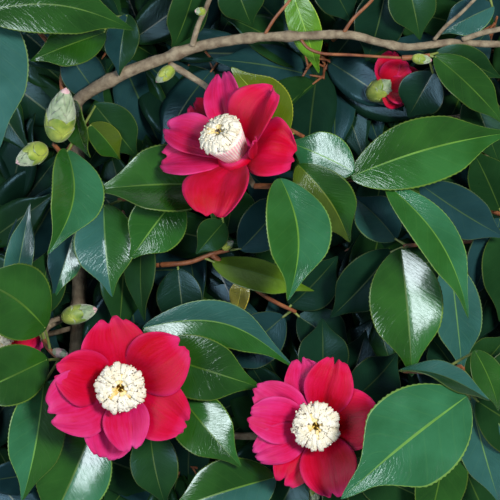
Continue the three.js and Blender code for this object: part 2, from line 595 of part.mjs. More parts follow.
// Points along every limb and stem, that a twig or leaf keeps away from.
const guards = [];
function guard(places, radius, owner) {
  const curve = new THREE.CatmullRomCurve3(places, false, 'centripetal');
  const steps = Math.ceil(curve.getLength() / 3);
  for (let step = 0; step <= steps; step += 1) {
    guards.push({ point: curve.getPoint(step / steps), radius, owner });
  }
}
for (const [name, plan] of Object.entries(limbs)) guard(route(plan.route), plan.radii[0], name);

const stemOf = ({ from, space }) => {
  const [left, top, right, bottom] = space;
  const middle = [(left + right) / 2, (top + bottom) / 2];
  return [at(...from), at(from[0] * 0.5 + middle[0] * 0.5, from[1] * 0.5 + middle[1] * 0.5, 22),
    at(middle[0], middle[1], 14)];
};
for (const [name, plan] of Object.entries(spreads)) guard(stemOf(plan), 1.3, name);

// Places on a leaf, by share of its length and of its half width.
const leafPlaces = [0.12, 0.3, 0.48, 0.66, 0.84, 1].flatMap((part) => [[part, -0.9], [part, 0], [part, 0.9]]);

function placesOn({ foot, tip, width }) {
  const axis = tip.clone().sub(foot);
  const side = new THREE.Vector3(axis.y, -axis.x, 0).normalize();
  return leafPlaces.map(([part, x]) => foot.clone().addScaledVector(axis, part)
    .addScaledVector(side, x * (width / 2) * leafOutline(part)));
}

// A leaf is kept if it stays in its mass's space, off the limbs and off the leaves kept before it.
function fits(places, name, space, kept) {
  const [low, high] = [at(space[0], space[3], 0), at(space[2], space[1], 0)];
  return places.every((point) => {
    if (point.x < low.x || point.x > high.x || point.y < low.y || point.y > high.y) return false;
    if (point.z > spreadTop) return false;
    if (kept.some((other) => point.distanceTo(other) < leafGap)) return false;
    return guards.every((g) => g.owner === name || point.distanceTo(g.point) > g.radius + limbGap);
  });
}

const leafGap = 6;
const limbGap = 4.2;
const leavesWanted = 6;
for (const [name, plan] of Object.entries(spreads)) {
  const stem = stemOf(plan);
  const draw = draws(plan.seed);
  const bodies = [limb(stem, [1.4, 1], 3, 4)];
  const kept = [];
  const twigCount = 5;
  const heading = (turn, length, rise) => new THREE.Vector3(Math.cos(turn) * length,
    Math.sin(turn) * length, rise);
  let leaves = 0;
  for (let twig = 0; twig < twigCount; twig += 1) {
    const turn = (2 * Math.PI * (twig + draw(-0.25, 0.25))) / twigCount;
    const root = stem[2].clone().lerp(stem[1], draw(0, 0.3));
    const end = root.clone().add(heading(turn, draw(10, 26), draw(-8, 10)));
    end.z = Math.max(end.z, 3);
    const leavesBefore = leaves;
    for (let attempt = 0; attempt < 30; attempt += 1) {
      const from = root.clone().lerp(end, draw(0.2, 0.97));
      const way = turn + draw(-2.6, 2.6);
      const long = draw(42, 58);
      const width = long * draw(0.4, 0.48);
      const foot = from.clone().add(heading(way, 5, draw(-1, 2)));
      const tip = foot.clone().add(heading(way, long, draw(-14, 16)));
      if (attempt % 3 === 0) tip.z = 0;
      tip.z = Math.max(tip.z, 0);
      const places = placesOn({ foot, tip, width });
      if (leaves < leavesWanted && fits(places, name, plan.space, kept)) {
        leaves += 1;
        kept.push(...places);
        bodies.push(blade({ foot: from, tip, width, fold: 6, arch: 0, parts: [0.46] }));
      }
    }
    if (leaves > leavesBefore) bodies.push(limb([root, root.clone().lerp(end, 0.5), end], [0.9, 0.7], 1, 3));
  }
  add(name, largest(oneBody(bodies).subtract(limbBody(limbs[plan.on], clear))), deepGreen);
}

export default group;
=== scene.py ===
import bmesh
import bpy
import numpy as np
from math import atan, atan2, copysign, cos, exp, floor, pi, radians, sin, sqrt, tan
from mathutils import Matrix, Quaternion, Vector, noise


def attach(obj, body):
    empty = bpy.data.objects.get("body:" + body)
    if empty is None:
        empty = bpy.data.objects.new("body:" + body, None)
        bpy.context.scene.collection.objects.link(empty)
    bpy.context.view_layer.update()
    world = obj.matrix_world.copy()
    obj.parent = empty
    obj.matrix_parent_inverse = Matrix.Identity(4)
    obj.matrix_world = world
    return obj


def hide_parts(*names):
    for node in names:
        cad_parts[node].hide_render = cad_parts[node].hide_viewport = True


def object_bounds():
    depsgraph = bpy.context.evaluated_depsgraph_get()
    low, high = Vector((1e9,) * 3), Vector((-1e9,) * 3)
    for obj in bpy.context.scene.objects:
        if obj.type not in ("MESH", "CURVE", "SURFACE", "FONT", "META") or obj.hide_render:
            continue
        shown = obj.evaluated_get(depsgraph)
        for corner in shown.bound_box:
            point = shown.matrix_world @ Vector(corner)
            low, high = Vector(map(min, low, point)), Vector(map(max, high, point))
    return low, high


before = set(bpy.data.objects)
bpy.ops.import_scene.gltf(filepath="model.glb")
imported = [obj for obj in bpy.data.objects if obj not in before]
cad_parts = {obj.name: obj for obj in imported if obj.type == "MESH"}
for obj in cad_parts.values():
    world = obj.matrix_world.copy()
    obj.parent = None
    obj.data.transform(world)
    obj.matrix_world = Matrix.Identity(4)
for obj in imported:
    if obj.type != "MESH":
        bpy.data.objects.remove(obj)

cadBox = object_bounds()
mm = 0.001

# The plan that every place is given on: 500 steps a side, drawn from a point above the floor.
plan = {"step": 0.44, "middle": 250, "eye": 780, "bloomHeight": 80, "shift": (-1.5, 1.0)}


def at(x, y, z):
    spread = plan["step"] * (plan["eye"] - z) / (plan["eye"] - plan["bloomHeight"])
    return Vector(((x - plan["middle"]) * spread + plan["shift"][0],
        (plan["middle"] - y) * spread + plan["shift"][1], z)) * mm


def routeOf(places):
    return [at(*place) for place in places]


def draws(seed):    # the same draws each time
    state = seed

    def draw(low, high):
        nonlocal state
        state = (state * 16807) % 2147483647
        return low + (high - low) * (state / 2147483647)
    return draw


def linked(name, data):
    made = bpy.data.objects.new(name, data)
    bpy.context.scene.collection.objects.link(made)
    return made


# --- camera and light ---
def feed(tree, made, values):    # by socket or in order: numbers, colours or other nodes' outputs
    for label, value in values.items() if isinstance(values, dict) else enumerate(values):
        if isinstance(value, bpy.types.NodeSocket):
            tree.links.new(value, made.inputs[label])
        else:
            made.inputs[label].default_value = (*value, 1) if isinstance(value, tuple) else value


camera = linked("camera", bpy.data.cameras.new("camera"))
camera.data.angle = 2 * atan(plan["middle"] * plan["step"] / (plan["eye"] - plan["bloomHeight"]))
camera.data.clip_start = 10 * mm
camera.location = Vector((*plan["shift"], plan["eye"])) * mm
bpy.context.scene.camera = camera
bpy.context.scene.view_settings.view_transform = "Standard"

lights = {    # place, sides, watts, colour, seen in gloss, lights matt surfaces
    "key": ((0.46, 0.18, 0.93), (0.22, 0.22), 13.6, (1.0, 0.97, 0.93), False, True),
    "sky": ((-0.46, 0.2, 0.9), (0.5, 0.28), 10.8, (0.82, 0.93, 1.0), True, False),
    "fill": ((-0.62, -0.3, 0.72), (0.6, 0.6), 5.4, (0.9, 0.95, 1.0), False, True),
}
for name, (place, sides, watts, colour, inGloss, onMatt) in lights.items():
    lamp = linked(name, bpy.data.lights.new(name, "AREA"))
    lamp.data.shape = "RECTANGLE"
    lamp.data.size, lamp.data.size_y = sides
    lamp.data.energy, lamp.data.color = watts, colour
    lamp.visible_glossy, lamp.visible_diffuse = inGloss, onMatt
    lamp.location = place
    lamp.rotation_euler = (-Vector(place)).to_track_quat("-Z", "Y").to_euler()
ambient = {"Color": (0.52, 0.74, 1.0), "Strength": 0.22}
world = bpy.data.worlds.new("studio")
world.use_nodes = True
feed(world.node_tree, world.node_tree.nodes["Background"], ambient)
bpy.context.scene.world = world


# --- materials ---
def node(tree, kind, values=()):
    made = tree.nodes.new(f"ShaderNode{kind}")
    feed(tree, made, values)
    return made.outputs


def reckon(tree, operation, *values):
    made = tree.nodes.new("ShaderNodeMath")
    made.operation = operation
    feed(tree, made, values)
    return made.outputs[0]


def blended(tree, factor, first, second):
    made = tree.nodes.new("ShaderNodeMix")
    made.data_type = "RGBA"
    feed(tree, made, {"Factor": factor, "A": first, "B": second})
    return made.outputs["Result"]


def noiseOf(tree, place, scale, detail=3):
    return node(tree, "TexNoise", {"Vector": place, "Scale": scale, "Detail": detail})["Fac"]


def stretched(tree, scales, *values):
    return node(tree, "CombineXYZ", [reckon(tree, "MULTIPLY", *pair) for pair in zip(values, scales)])["Vector"]


def ranged(tree, value, low, high, least=0.0, most=1.0):
    return node(tree, "MapRange", [value, low, high, least, most])["Result"]


def mapOf(tree, place):    # across, along, and how far from the middle line
    split = node(tree, "SeparateXYZ", [place["UV"]])
    across, along = split["X"], split["Y"]
    return across, along, reckon(tree, "ABSOLUTE", reckon(tree, "MULTIPLY_ADD", across, 2, -1))


def group(name, colours, numbers, build):    # build gives the colour, roughness and height
    tree = bpy.data.node_groups.new(name, "ShaderNodeTree")
    for way, kind, labels in (("INPUT", "Color", colours), ("INPUT", "Float", numbers),
            ("OUTPUT", "Color", ["Color"]), ("OUTPUT", "Float", ["Roughness", "Height"])):
        for label in labels:
            tree.interface.new_socket(label, in_out=way, socket_type=f"NodeSocket{kind}")
    feed(tree, tree.nodes.new("NodeGroupOutput"), build(tree, tree.nodes.new("NodeGroupInput").outputs))
    return tree


def mottling(tree, given):    # two tones in soft patches, and fine relief with it
    place = node(tree, "TexCoord")["Object"]
    patches = noiseOf(tree, place, given["Patches"], 4)
    return (blended(tree, ranged(tree, patches, 0.32, 0.68), given["Dark"], given["Light"]),
        ranged(tree, patches, 0, 1, given["Gloss"], given["Matt"]),
        noiseOf(tree, place, given["Grain"], 4))


veins = {"count": 8.5, "slope": 1.8, "depth": 0.05, "lineFrom": 0.84, "tint": 0.09, "groove": -0.15,
    "patches": 45, "crinkle": (6, 3.5, 9)}


def veining(tree, given):    # two tones, fine side veins and crinkles that run along them
    place = node(tree, "TexCoord")
    _, along, size = mapOf(tree, place)
    run = reckon(tree, "SUBTRACT", reckon(tree, "MULTIPLY", along, veins["count"]),
        reckon(tree, "MULTIPLY", size, veins["slope"]))
    patches = noiseOf(tree, place["Object"], veins["patches"], 4)
    near = reckon(tree, "MULTIPLY_ADD", reckon(tree, "PINGPONG", run, 0.5), -2, 1)
    line = ranged(tree, near, veins["lineFrom"], 1.0)
    crinkle = noiseOf(tree, stretched(tree, veins["crinkle"], run, size, patches), 1)
    plain = blended(tree, ranged(tree, patches, 0.34, 0.66), given["Dark"], given["Light"])
    return (blended(tree, reckon(tree, "MULTIPLY", line, veins["tint"]), plain, given["Vein"]),
        ranged(tree, patches, 0, 1, given["Gloss"], given["Matt"]),
        reckon(tree, "MULTIPLY_ADD", line, veins["groove"], crinkle))


# rimFrom, rimPower and rimPatches place a painted pink sheen along the petal's rim.
streak = {"scales": (30, 2, 6), "patches": 75, "share": 0.35, "paleToTip": 0.16, "tones": (0.44, 0.76),
    "rimFrom": 0.86, "rimPower": 9, "rimPatches": (0.35, 0.7, 0.15, 0.8), "roughness": (0.3, 0.7, 0.5, 0.66)}


def streaking(tree, given):    # fine lengthwise streaks, paler towards the rim by a painted pink sheen, and deeper at the foot
    place = node(tree, "TexCoord")
    across, along, size = mapOf(tree, place)
    patches = noiseOf(tree, place["Object"], streak["patches"])
    streaks = noiseOf(tree, stretched(tree, streak["scales"], across, along, patches), 1)
    share = reckon(tree, "MULTIPLY_ADD", streaks, streak["share"],
        reckon(tree, "MULTIPLY", patches, 1 - streak["share"]))
    share = reckon(tree, "MULTIPLY_ADD", along, streak["paleToTip"], share)
    plain = blended(tree, ranged(tree, share, *streak["tones"]), given["Dark"], given["Light"])
    rim = reckon(tree, "MAXIMUM", ranged(tree, along, streak["rimFrom"], 1.0),
        reckon(tree, "POWER", size, streak["rimPower"]))
    rim = reckon(tree, "MULTIPLY", rim, ranged(tree, patches, *streak["rimPatches"]))
    return (blended(tree, rim, plain, given["SheenRim"]), ranged(tree, streaks, *streak["roughness"]), streaks)


mottled = group("mottled", ("Dark", "Light"), ("Patches", "Grain", "Gloss", "Matt"), mottling)
veined = group("veined", ("Dark", "Light", "Vein"), ("Gloss", "Matt"), veining)
streaked = group("streaked", ("Dark", "Light", "SheenRim"), (), streaking)
skins = {}


def skinned(name, tree, values, relief, strength, sockets):    # a material on a group, with its inputs in order
    skins[name] = bpy.data.materials.new(name)
    skins[name].use_nodes = True
    inside = skins[name].node_tree
    skin = inside.nodes.new("ShaderNodeGroup")
    skin.node_tree = tree
    feed(inside, skin, values)
    color, roughness, height = skin.outputs
    normal = node(inside, "Bump", {"Distance": relief, "Strength": strength, "Height": height})["Normal"]
    feed(inside, inside.nodes["Principled BSDF"], {
        "Base Color": color, "Roughness": roughness, "Normal": normal, **sockets})


def finish(name, dark, light, patches=60, grain=600, gloss=0.3, matt=0.5, sockets={}, relief=0.0003,
        strength=0.5):
    skinned(name, mottled, (dark, light, patches, grain, gloss, matt), relief, strength, sockets)


finishes = {    # darker and lighter tone, patches, grain, roughness from and to, sockets, relief and its strength
    "bark_old": ((0.115, 0.082, 0.052), (0.265, 0.22, 0.148), 260, 900, 0.75, 0.95, {}, 0.0006, 0.8),
    "bark_young": ((0.13, 0.04, 0.018), (0.26, 0.1, 0.04), 240, 900, 0.45, 0.65),
    "bark_green": ((0.1, 0.15, 0.03), (0.2, 0.24, 0.06), 240, 900, 0.45, 0.65),
    "filament": ((0.72, 0.62, 0.52), (0.82, 0.78, 0.7), 300, 900, 0.5, 0.7,
        {"Subsurface Weight": 0.2, "Subsurface Scale": 0.001}),
    "filament_wall": ((0.68, 0.28, 0.34), (0.8, 0.48, 0.52), 300, 900, 0.5, 0.7),
    "anther": ((0.68, 0.61, 0.44), (0.77, 0.74, 0.65), 420, 1500, 0.6, 0.9),
    "anther_cream": ((0.66, 0.44, 0.11), (0.8, 0.7, 0.4), 420, 1500, 0.6, 0.9),
    "boss_heart": ((0.74, 0.44, 0.05), (0.9, 0.74, 0.24), 500, 1500, 0.5, 0.8),
    "anther_spent": ((0.06, 0.035, 0.03), (0.16, 0.09, 0.05), 60, 600, 0.7, 0.9),
    "bud_scale": ((0.1, 0.18, 0.018), (0.34, 0.4, 0.06), 170, 900, 0.4, 0.6, {"Sheen Weight": 0.15}),
    "bud_fuzz": ((0.14, 0.22, 0.11), (0.36, 0.42, 0.28), 260, 2200, 0.7, 0.9, {"Sheen Weight": 0.4}),
    "bud_tip": ((0.46, 0.2, 0.26), (0.62, 0.46, 0.44), 260, 2200, 0.6, 0.8, {"Sheen Weight": 0.3}),
    "floor_paint": ((0.62, 0.63, 0.64), (0.66, 0.67, 0.68), 2, 50, 0.8, 0.9, {}, 0.0001, 0.1),
}
for name, row in finishes.items():
    finish(name, *row)
leafTones = {    # darker and lighter tone of the upper side
    # deep: a darker green that stands in for the shade inside the mass, a painted shade
    "deep": ((0.003, 0.014, 0.007), (0.006, 0.026, 0.013)),
    # dark: a darker green, partly the leaves' own colour and partly a painted shade on leaves under others and inside
    # the mass
    "dark": ((0.006, 0.026, 0.006), (0.011, 0.043, 0.011)),
    "green": ((0.008, 0.039, 0.003), (0.017, 0.074, 0.008)),
    "fresh": ((0.012, 0.064, 0.006), (0.022, 0.104, 0.02)),
    # teal and blue: green with a painted blue sky sheen, set on whole leaves or on one half of a leaf
    "teal": ((0.014, 0.078, 0.026), (0.026, 0.128, 0.055)),
    "blue": ((0.016, 0.07, 0.054), (0.03, 0.108, 0.092)),
    # slate: a dark green with a painted bluish sheen, a painted shade for leaves below others
    "slate": ((0.006, 0.026, 0.026), (0.013, 0.044, 0.047)),
    "lime": ((0.062, 0.1, 0.004), (0.095, 0.15, 0.008)),
    "olive": ((0.03, 0.056, 0.004), (0.055, 0.092, 0.007)),
    "vivid": ((0.045, 0.14, 0.006), (0.085, 0.22, 0.012)),
    "yellow": ((0.5, 0.42, 0.04), (0.62, 0.55, 0.1)),
}
inShade = ("deep", "dark", "slate")
bladeLooks = (    # lit, then in shade: roughness from and to, strength of the relief, sockets
    (0.13, 0.26, 0.6, {"Coat Weight": 0.3, "Coat Roughness": 0.1, "Specular IOR Level": 0.42}),
    (0.23, 0.4, 0.3, {"Coat Weight": 0.03, "Coat Roughness": 0.3, "Specular IOR Level": 0.16,
        "Specular Tint": (0.45, 0.75, 1.0)}))


def paler(tones, green, red, blue=0.12):    # ribs, margins and undersides, by the green of the upper side
    return [(r * 1.5 + g * red, g * green, b * 0.6 + g * blue) for r, g, b in tones]


for name, tones in leafTones.items():
    gloss, matt, strength, sockets = bladeLooks[name in inShade]
    skinned(f"leaf_{name}", veined, (*tones, paler(tones, 1.5, 0.25)[1], gloss, matt), 0.00034, strength, sockets)
    finish(f"midrib_{name}", *paler(tones, 2.1, 0.6), gloss=0.35)
    finish(f"margin_{name}", *paler(tones, 1.9, 0.7), gloss=0.35)
    finish(f"underside_{name}", *paler(tones, 2.6, 1.0, 0.05), 50, 500, 0.45, 0.6, {"Specular IOR Level": 0.25})
toneNames = list(leafTones)
leafSkins = [f"{part}_{tone}" for part in ("leaf", "midrib", "margin", "underside", "midrib", "margin")
    for tone in toneNames]    # upper side, then underside and edge
# Each is a dark, light and rim tone; the rim tone and the whole pink material are a painted pink sheen of the sky on
# red petals.
petalTones = {"petal": ((0.36, 0.0, 0.006), (0.46, 0.003, 0.042), (0.54, 0.03, 0.17)),
    "petal_pink_sheen": ((0.42, 0.001, 0.035), (0.5, 0.018, 0.135), (0.58, 0.06, 0.24))}
for name, tones in petalTones.items():
    skinned(name, streaked, tones, 0.0003, 0.6, {
        "Specular IOR Level": 0.12, "Sheen Weight": 0.04, "Sheen Roughness": 0.4, "Sheen Tint": (1.0, 0.4, 0.7)})
print("materials made")


# --- making pieces ---
def meshOf(name, bm, labels):
    mesh = bpy.data.meshes.new(name)
    bm.normal_update()
    bm.to_mesh(mesh)
    bm.free()
    for label in labels:
        mesh.materials.append(skins[label])
    return linked(name, mesh)


def piece(name, bm, labels, nodes):
    made = meshOf(name, bm, labels)
    made.data.shade_smooth()
    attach(made, "root")
    if nodes:
        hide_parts(*nodes)
    return made


def thicken(made, thick, backs=0):    # backs: slots from a skin to that of its back
    shell = made.modifiers.new("thickness", "SOLIDIFY")
    shell.thickness, shell.offset = thick * mm, 0
    shell.material_offset = shell.material_offset_rim = backs


def shapedGrid(bm, across, along, place, material=0):    # place takes (-1..1 across, 0..1 along)
    verts = bmesh.ops.create_grid(bm, x_segments=across, y_segments=along, size=1)["verts"]
    mapped = bm.loops.layers.uv.active
    for vert in verts if mapped else ():
        for loop in vert.link_loops:
            loop[mapped].uv = ((vert.co.x + 1) / 2, (vert.co.y + 1) / 2)
    for vert in verts:
        for face in vert.link_faces:
            face.material_index = material
        vert.co = place(vert.co.x, (vert.co.y + 1) / 2)
    return verts


def curveThrough(points, count, finer=24):    # evenly spaced places along a smooth curve
    ends = [2 * points[0] - points[1], *points, 2 * points[-1] - points[-2]]
    fine = [points[0]]
    for four in zip(ends, ends[1:], ends[2:], ends[3:]):
        knots = [0]
        for p, q in zip(four, four[1:]):
            knots.append(knots[-1] + max((q - p).length, 1e-7) ** 0.5)
        for k in range(1, finer + 1):
            t = knots[1] + (knots[2] - knots[1]) * k / finer
            row = list(four)
            for level in (1, 2):
                row = [row[i].lerp(row[i + 1], (t - knots[i]) / (knots[i + level] - knots[i]))
                    for i in range(len(row) - 1)]
            fine.append(row[0].lerp(row[1], k / finer))
    reach = [0]
    for p, q in zip(fine, fine[1:]):
        reach.append(reach[-1] + (q - p).length)
    places, k = [], 0
    for step in range(count + 1):
        goal = reach[-1] * step / count
        while k < len(fine) - 2 and reach[k + 1] < goal:
            k += 1
        places.append(fine[k].lerp(fine[k + 1], (goal - reach[k]) / max(reach[k + 1] - reach[k], 1e-9)))
    return places


def tapered(first, last):    # radius along a limb
    return lambda part: (first + (last - first) * part) * mm


def closed(bm, verts, material):    # a rolled grid, its seam welded and its ends filled
    bmesh.ops.remove_doubles(bm, verts=verts, dist=1e-7)
    verts = [v for v in verts if v.is_valid]
    rim = [e for e in {e for v in verts for e in v.link_edges} if e.is_boundary]
    for face in bmesh.ops.holes_fill(bm, edges=rim, sides=0)["faces"]:
        face.material_index = material
    return {face for v in verts for face in v.link_faces}


def sidesOf(axis):    # two directions square to an axis
    across = Vector((0.31, 0.17, 0.2)).cross(axis).normalized()
    return across, axis.cross(across)


def spun(pair, turn):    # from the first direction towards the second
    return pair[0] * cos(turn) + pair[1] * sin(turn)


def tube(bm, places, radiusAt, count, material=0, relief=0.0):
    frames, across = [], Vector((0, 0, 1))
    for k, middle in enumerate(places):
        along = (places[min(k + 1, len(places) - 1)] - places[max(k - 1, 0)]).normalized()
        across = across - along * across.dot(along)
        if across.length < 0.1:
            across = Vector((1, 0, 0)) - along * along.x
        across.normalize()
        frames.append((middle, (across.copy(), along.cross(across))))
    last = len(places) - 1

    def place(x, part):
        middle, sides = frames[round(part * last)]
        radius, out = radiusAt(part), spun(sides, pi * x)
        if relief:
            radius *= 1 + relief * noise.fractal((middle + out * radius) / (9 * mm), 0.8, 2.2, 4)
        return middle + out * radius
    closed(bm, shapedGrid(bm, count, last, place, material), material)


def turned(bm, middle, axis, outline, count, material=0):    # outline of (radius, height) along an axis
    sides, last = sidesOf(axis), len(outline) - 1

    def place(x, part):
        radius, height = outline[round(part * last)]
        return middle + axis * height + spun(sides, pi * x) * radius
    faces = closed(bm, shapedGrid(bm, count, last, place, material), material)
    bmesh.ops.recalc_face_normals(bm, faces=list(faces))
    return faces


def framed(foot, tip, roll, facing=Vector((0, 0, 1))):
    axis = tip - foot
    along = axis.normalized()
    up = (facing - along * facing.dot(along)).normalized()
    up.rotate(Quaternion(along, radians(roll)))
    return axis, up, along.cross(up)


leafDetail = {    # near and far: lines to a side, and rows
    "near": ((0.028, 0.16, 0.37, 0.58, 0.78, 0.95, 1), 60), "far": ((0.035, 0.33, 0.7, 1), 14),
    "oval": (0.82, 0.8), "neckFrom": 0.62, "neckLong": 0.3, "drawnOut": 0.48, "teeth": 0.022, "wave": 0.7,
    "curl": 0.05, "thick": 0.42, "droop": 0.3, "droopFrom": 0.84, "lowest": 0.45}


def leafOutline(part, drawn):    # an oval drawn out to a point
    skew, fullness = leafDetail["oval"]
    oval = max(sin(pi * part ** skew), 0) ** fullness
    neck = min(max((part - leafDetail["neckFrom"] + drawn) / leafDetail["neckLong"], 0), 1)
    return oval * (1 - (leafDetail["drawnOut"] + drawn) * neck * neck * (3 - 2 * neck))


def leaf(bm, foot, tip, width, roll, fold, arch, tone, draw, fine, bend=0, twist=0, drawn=0):
    axis, up, side = framed(foot, tip, roll)
    long = axis.length
    lift = tan(radians(fold))
    turns = [draw(0, 1), draw(0, 1)]
    waves = draw(1.2, 2.2)
    bend += draw(-0.02, 0.02)
    twist = radians(twist + draw(-6, 6))
    wave = leafDetail["wave"] * mm * draw(0.5, 1.2)
    uneven = draw(-0.05, 0.05)
    lines, rows = leafDetail["near" if fine else "far"]
    columns = 2 * len(lines) - 1

    def lineAt(x):
        return copysign(lines[round((abs(x) * columns - 1) / 2)], x)

    def surface(x, part):
        half = width / 2 * leafOutline(part, drawn) * (1 + uneven * (1 if x > 0 else -1))
        if fine and abs(x) > 0.99 and round(part * rows) % 2:
            half *= 1 - leafDetail["teeth"]
        size, hump = abs(x), sin(pi * part)
        rise = arch * 4 * part * (1 - part) + size * half * lift - leafDetail["curl"] * half * size ** 4
        rise += wave * sin(2 * pi * (waves * part + turns[x > 0])) * x * x * hump
        rise -= leafDetail["droop"] * long * max(0, part - leafDetail["droopFrom"]) ** 1.5
        if fine:
            crease = sin(2 * pi * (veins["count"] * part - veins["slope"] * size))
            rise += veins["depth"] * mm * crease * 4 * size * (1 - size) * hump
        turn = twist * (part - 0.5)
        point = foot + axis * part + side * (bend * long * hump)
        point = point + spun((side, up), -turn) * x * half + spun((up, side), turn) * rise
        point.z = max(point.z, leafDetail["lowest"] * mm)
        return point

    verts = bmesh.ops.create_grid(bm, x_segments=columns, y_segments=rows, size=1)["verts"]
    mapped = bm.loops.layers.uv.verify()
    halves = [toneNames.index(name) for name in (tone.split("/") * 2)[:2]]    # left and right of the midrib
    for face in {f for v in verts for f in v.link_faces}:
        middle = sum(v.co.x for v in face.verts) / 4
        part = 1 if abs(middle) < 0.5 / columns else 2 if fine and abs(middle) > 1 - 1.5 / columns else 0
        face.material_index = halves[middle > 0] + part * len(toneNames)
        for loop in face.loops:
            loop[mapped].uv = (0.5 + 0.5 * lineAt(loop.vert.co.x), (loop.vert.co.y + 1) / 2)
    for vert in verts:
        vert.co = surface(lineAt(vert.co.x), (vert.co.y + 1) / 2)
    bmesh.ops.remove_doubles(bm, verts=verts, dist=1e-6)
    return surface


def foliagePieces(name, foliage, wood, woodSkins):
    thicken(piece(f"{name}_leaves", foliage, leafSkins, [name]), leafDetail["thick"], 3 * len(toneNames))
    piece(f"{name}_twigs", wood, woodSkins, [])


bm = bmesh.new()
bmesh.ops.create_grid(bm, x_segments=1, y_segments=1, size=6)
floorPiece = meshOf("floor", bm, ["floor_paint"])

# --- stem, boughs and twigs ---
limbs = {    # route on the plan, radii at both ends, bark
    "stem_lower": ([(58, 548, 7), (66, 480, 11), (74, 400, 16), (79, 300, 24), (80, 200, 33), (76, 130, 43),
        (76, 104, 49)], (4.4, 2.9), "old"),
    "stem_upper": ([(76, 104, 49), (84, 95, 52), (132, 70, 56), (168, 57, 57), (200, 46, 57), (250, 38, 58),
        (300, 36, 58), (350, 35, 58), (382, 43, 57), (405, 47, 57), (450, 43, 57), (500, 44, 56),
        (548, 40, 54)], (2.9, 1.3), "old"),
    "bough_corner": ([(77, 122, 44.5), (66, 106, 45), (62, 84, 48), (62, 62, 51), (34, 26, 56)],
        (1.4, 1.0), "young"),
    "bough_middle": ([(170, 64, 55), (190, 76, 56), (212, 92, 56), (232, 125, 58), (243, 165, 64),
        (254, 186, 72)], (1.5, 1.2), "old"),
    "bough_left": ([(80, 310, 24), (62, 318, 34), (46, 328, 42), (44, 340, 48)], (2.1, 1.7), "old"),
    "bough_centre": ([(80, 262, 28), (120, 268, 34), (160, 265, 42)], (1.5, 1.1), "young"),
    "bough_bloom": ([(76, 380, 18), (96, 388, 32), (119, 387, 47)], (2.0, 1.6), "old"),
    "bough_lower": ([(72, 412, 15), (120, 424, 20), (190, 432, 26), (250, 436, 34), (300, 430, 46)],
        (2.2, 1.6), "old"),
    "bough_right": ([(462, 44, 54), (482, 80, 44), (488, 150, 38), (478, 240, 38), (464, 320, 43),
        (462, 366, 52)], (1.6, 1.4), "old"),
    "bough_buds": ([(80, 190, 34), (72, 172, 42), (62, 156, 54)], (1.9, 1.5), "old"),
    "twig_top_left": ([(192, 46, 59), (198, 26, 61), (205, 10, 61), (218, -22, 60)], (1.4, 1.0), "old"),
    "twig_top_middle": ([(265, 34, 59), (275, 18, 62), (291, -2, 63), (300, -24, 62)], (0.8, 0.6), "young"),
    "twig_top_right": ([(344, 32, 59), (353, 19, 62), (372, 0, 63), (388, -22, 62)], (0.9, 0.6), "young"),
    "twig_corner": ([(434, 40, 58), (445, 27, 61), (460, 14, 62), (482, -8, 62)], (0.9, 0.7), "old"),
    "twig_fork": ([(462, 40, 58), (482, 33, 60), (504, 28, 60), (534, 16, 58)], (1.3, 1.0), "old"),
    "twig_bloom_4": ([(79, 326, 21), (40, 336, 21), (10, 339, 24), (-1, 338, 30)], (1.3, 1.1), "old"),
    "twig_bloom_5": ([(486, 112, 41.5), (440, 118, 35), (395, 110, 33), (373, 96, 36.5)], (1.2, 0.9), "old"),
    "twig_bud": ([(50, 325.5, 40), (52, 321, 42), (55.4, 319.7, 42.9), (61.3, 318.2, 43.88)],
        (1.2, 1.1), "old"),
    "twig_shoot": ([(301, 40, 59), (308, 48, 60), (320, 53, 61), (352, 55, 61), (402, 58, 61)],
        (0.75, 0.6), "young"),
}
barks = {"old": ("bark_old", "bark", 0.13), "young": ("bark_young", "young_bark", 0.05)}    # skin, slot, relief
swellings = {    # knots on the stem: share of its length, and how much wider
    "stem_lower": ((0.24, 0.16), (0.55, 0.2), (0.8, 0.2)),
    "stem_upper": ((0.09, 0.25), (0.235, 0.3), (0.39, 0.22), (0.47, 0.25), (0.68, 0.25), (0.8, 0.25)),
}
limbDetail = {"sides": 14, "step": 0.9, "fewest": 8, "knotLong": 0.012}
for name, (places, radii, bark) in limbs.items():
    bm, route = bmesh.new(), routeOf(places)
    long = sum((q - p).length for p, q in zip(route, route[1:]))
    skin, slotName, relief = barks[bark]

    def radiusAt(part, plain=tapered(*radii), knots=swellings.get(name, ())):
        return plain(part) * (1 + sum(more * exp(-((part - spot) / limbDetail["knotLong"]) ** 2)
            for spot, more in knots))
    count = max(limbDetail["fewest"], round(long / (limbDetail["step"] * mm)))
    tube(bm, curveThrough(route, count), radiusAt, limbDetail["sides"], 0, relief)
    piece(f"{name}_bark", bm, [skin], [name])
print("limbs made")
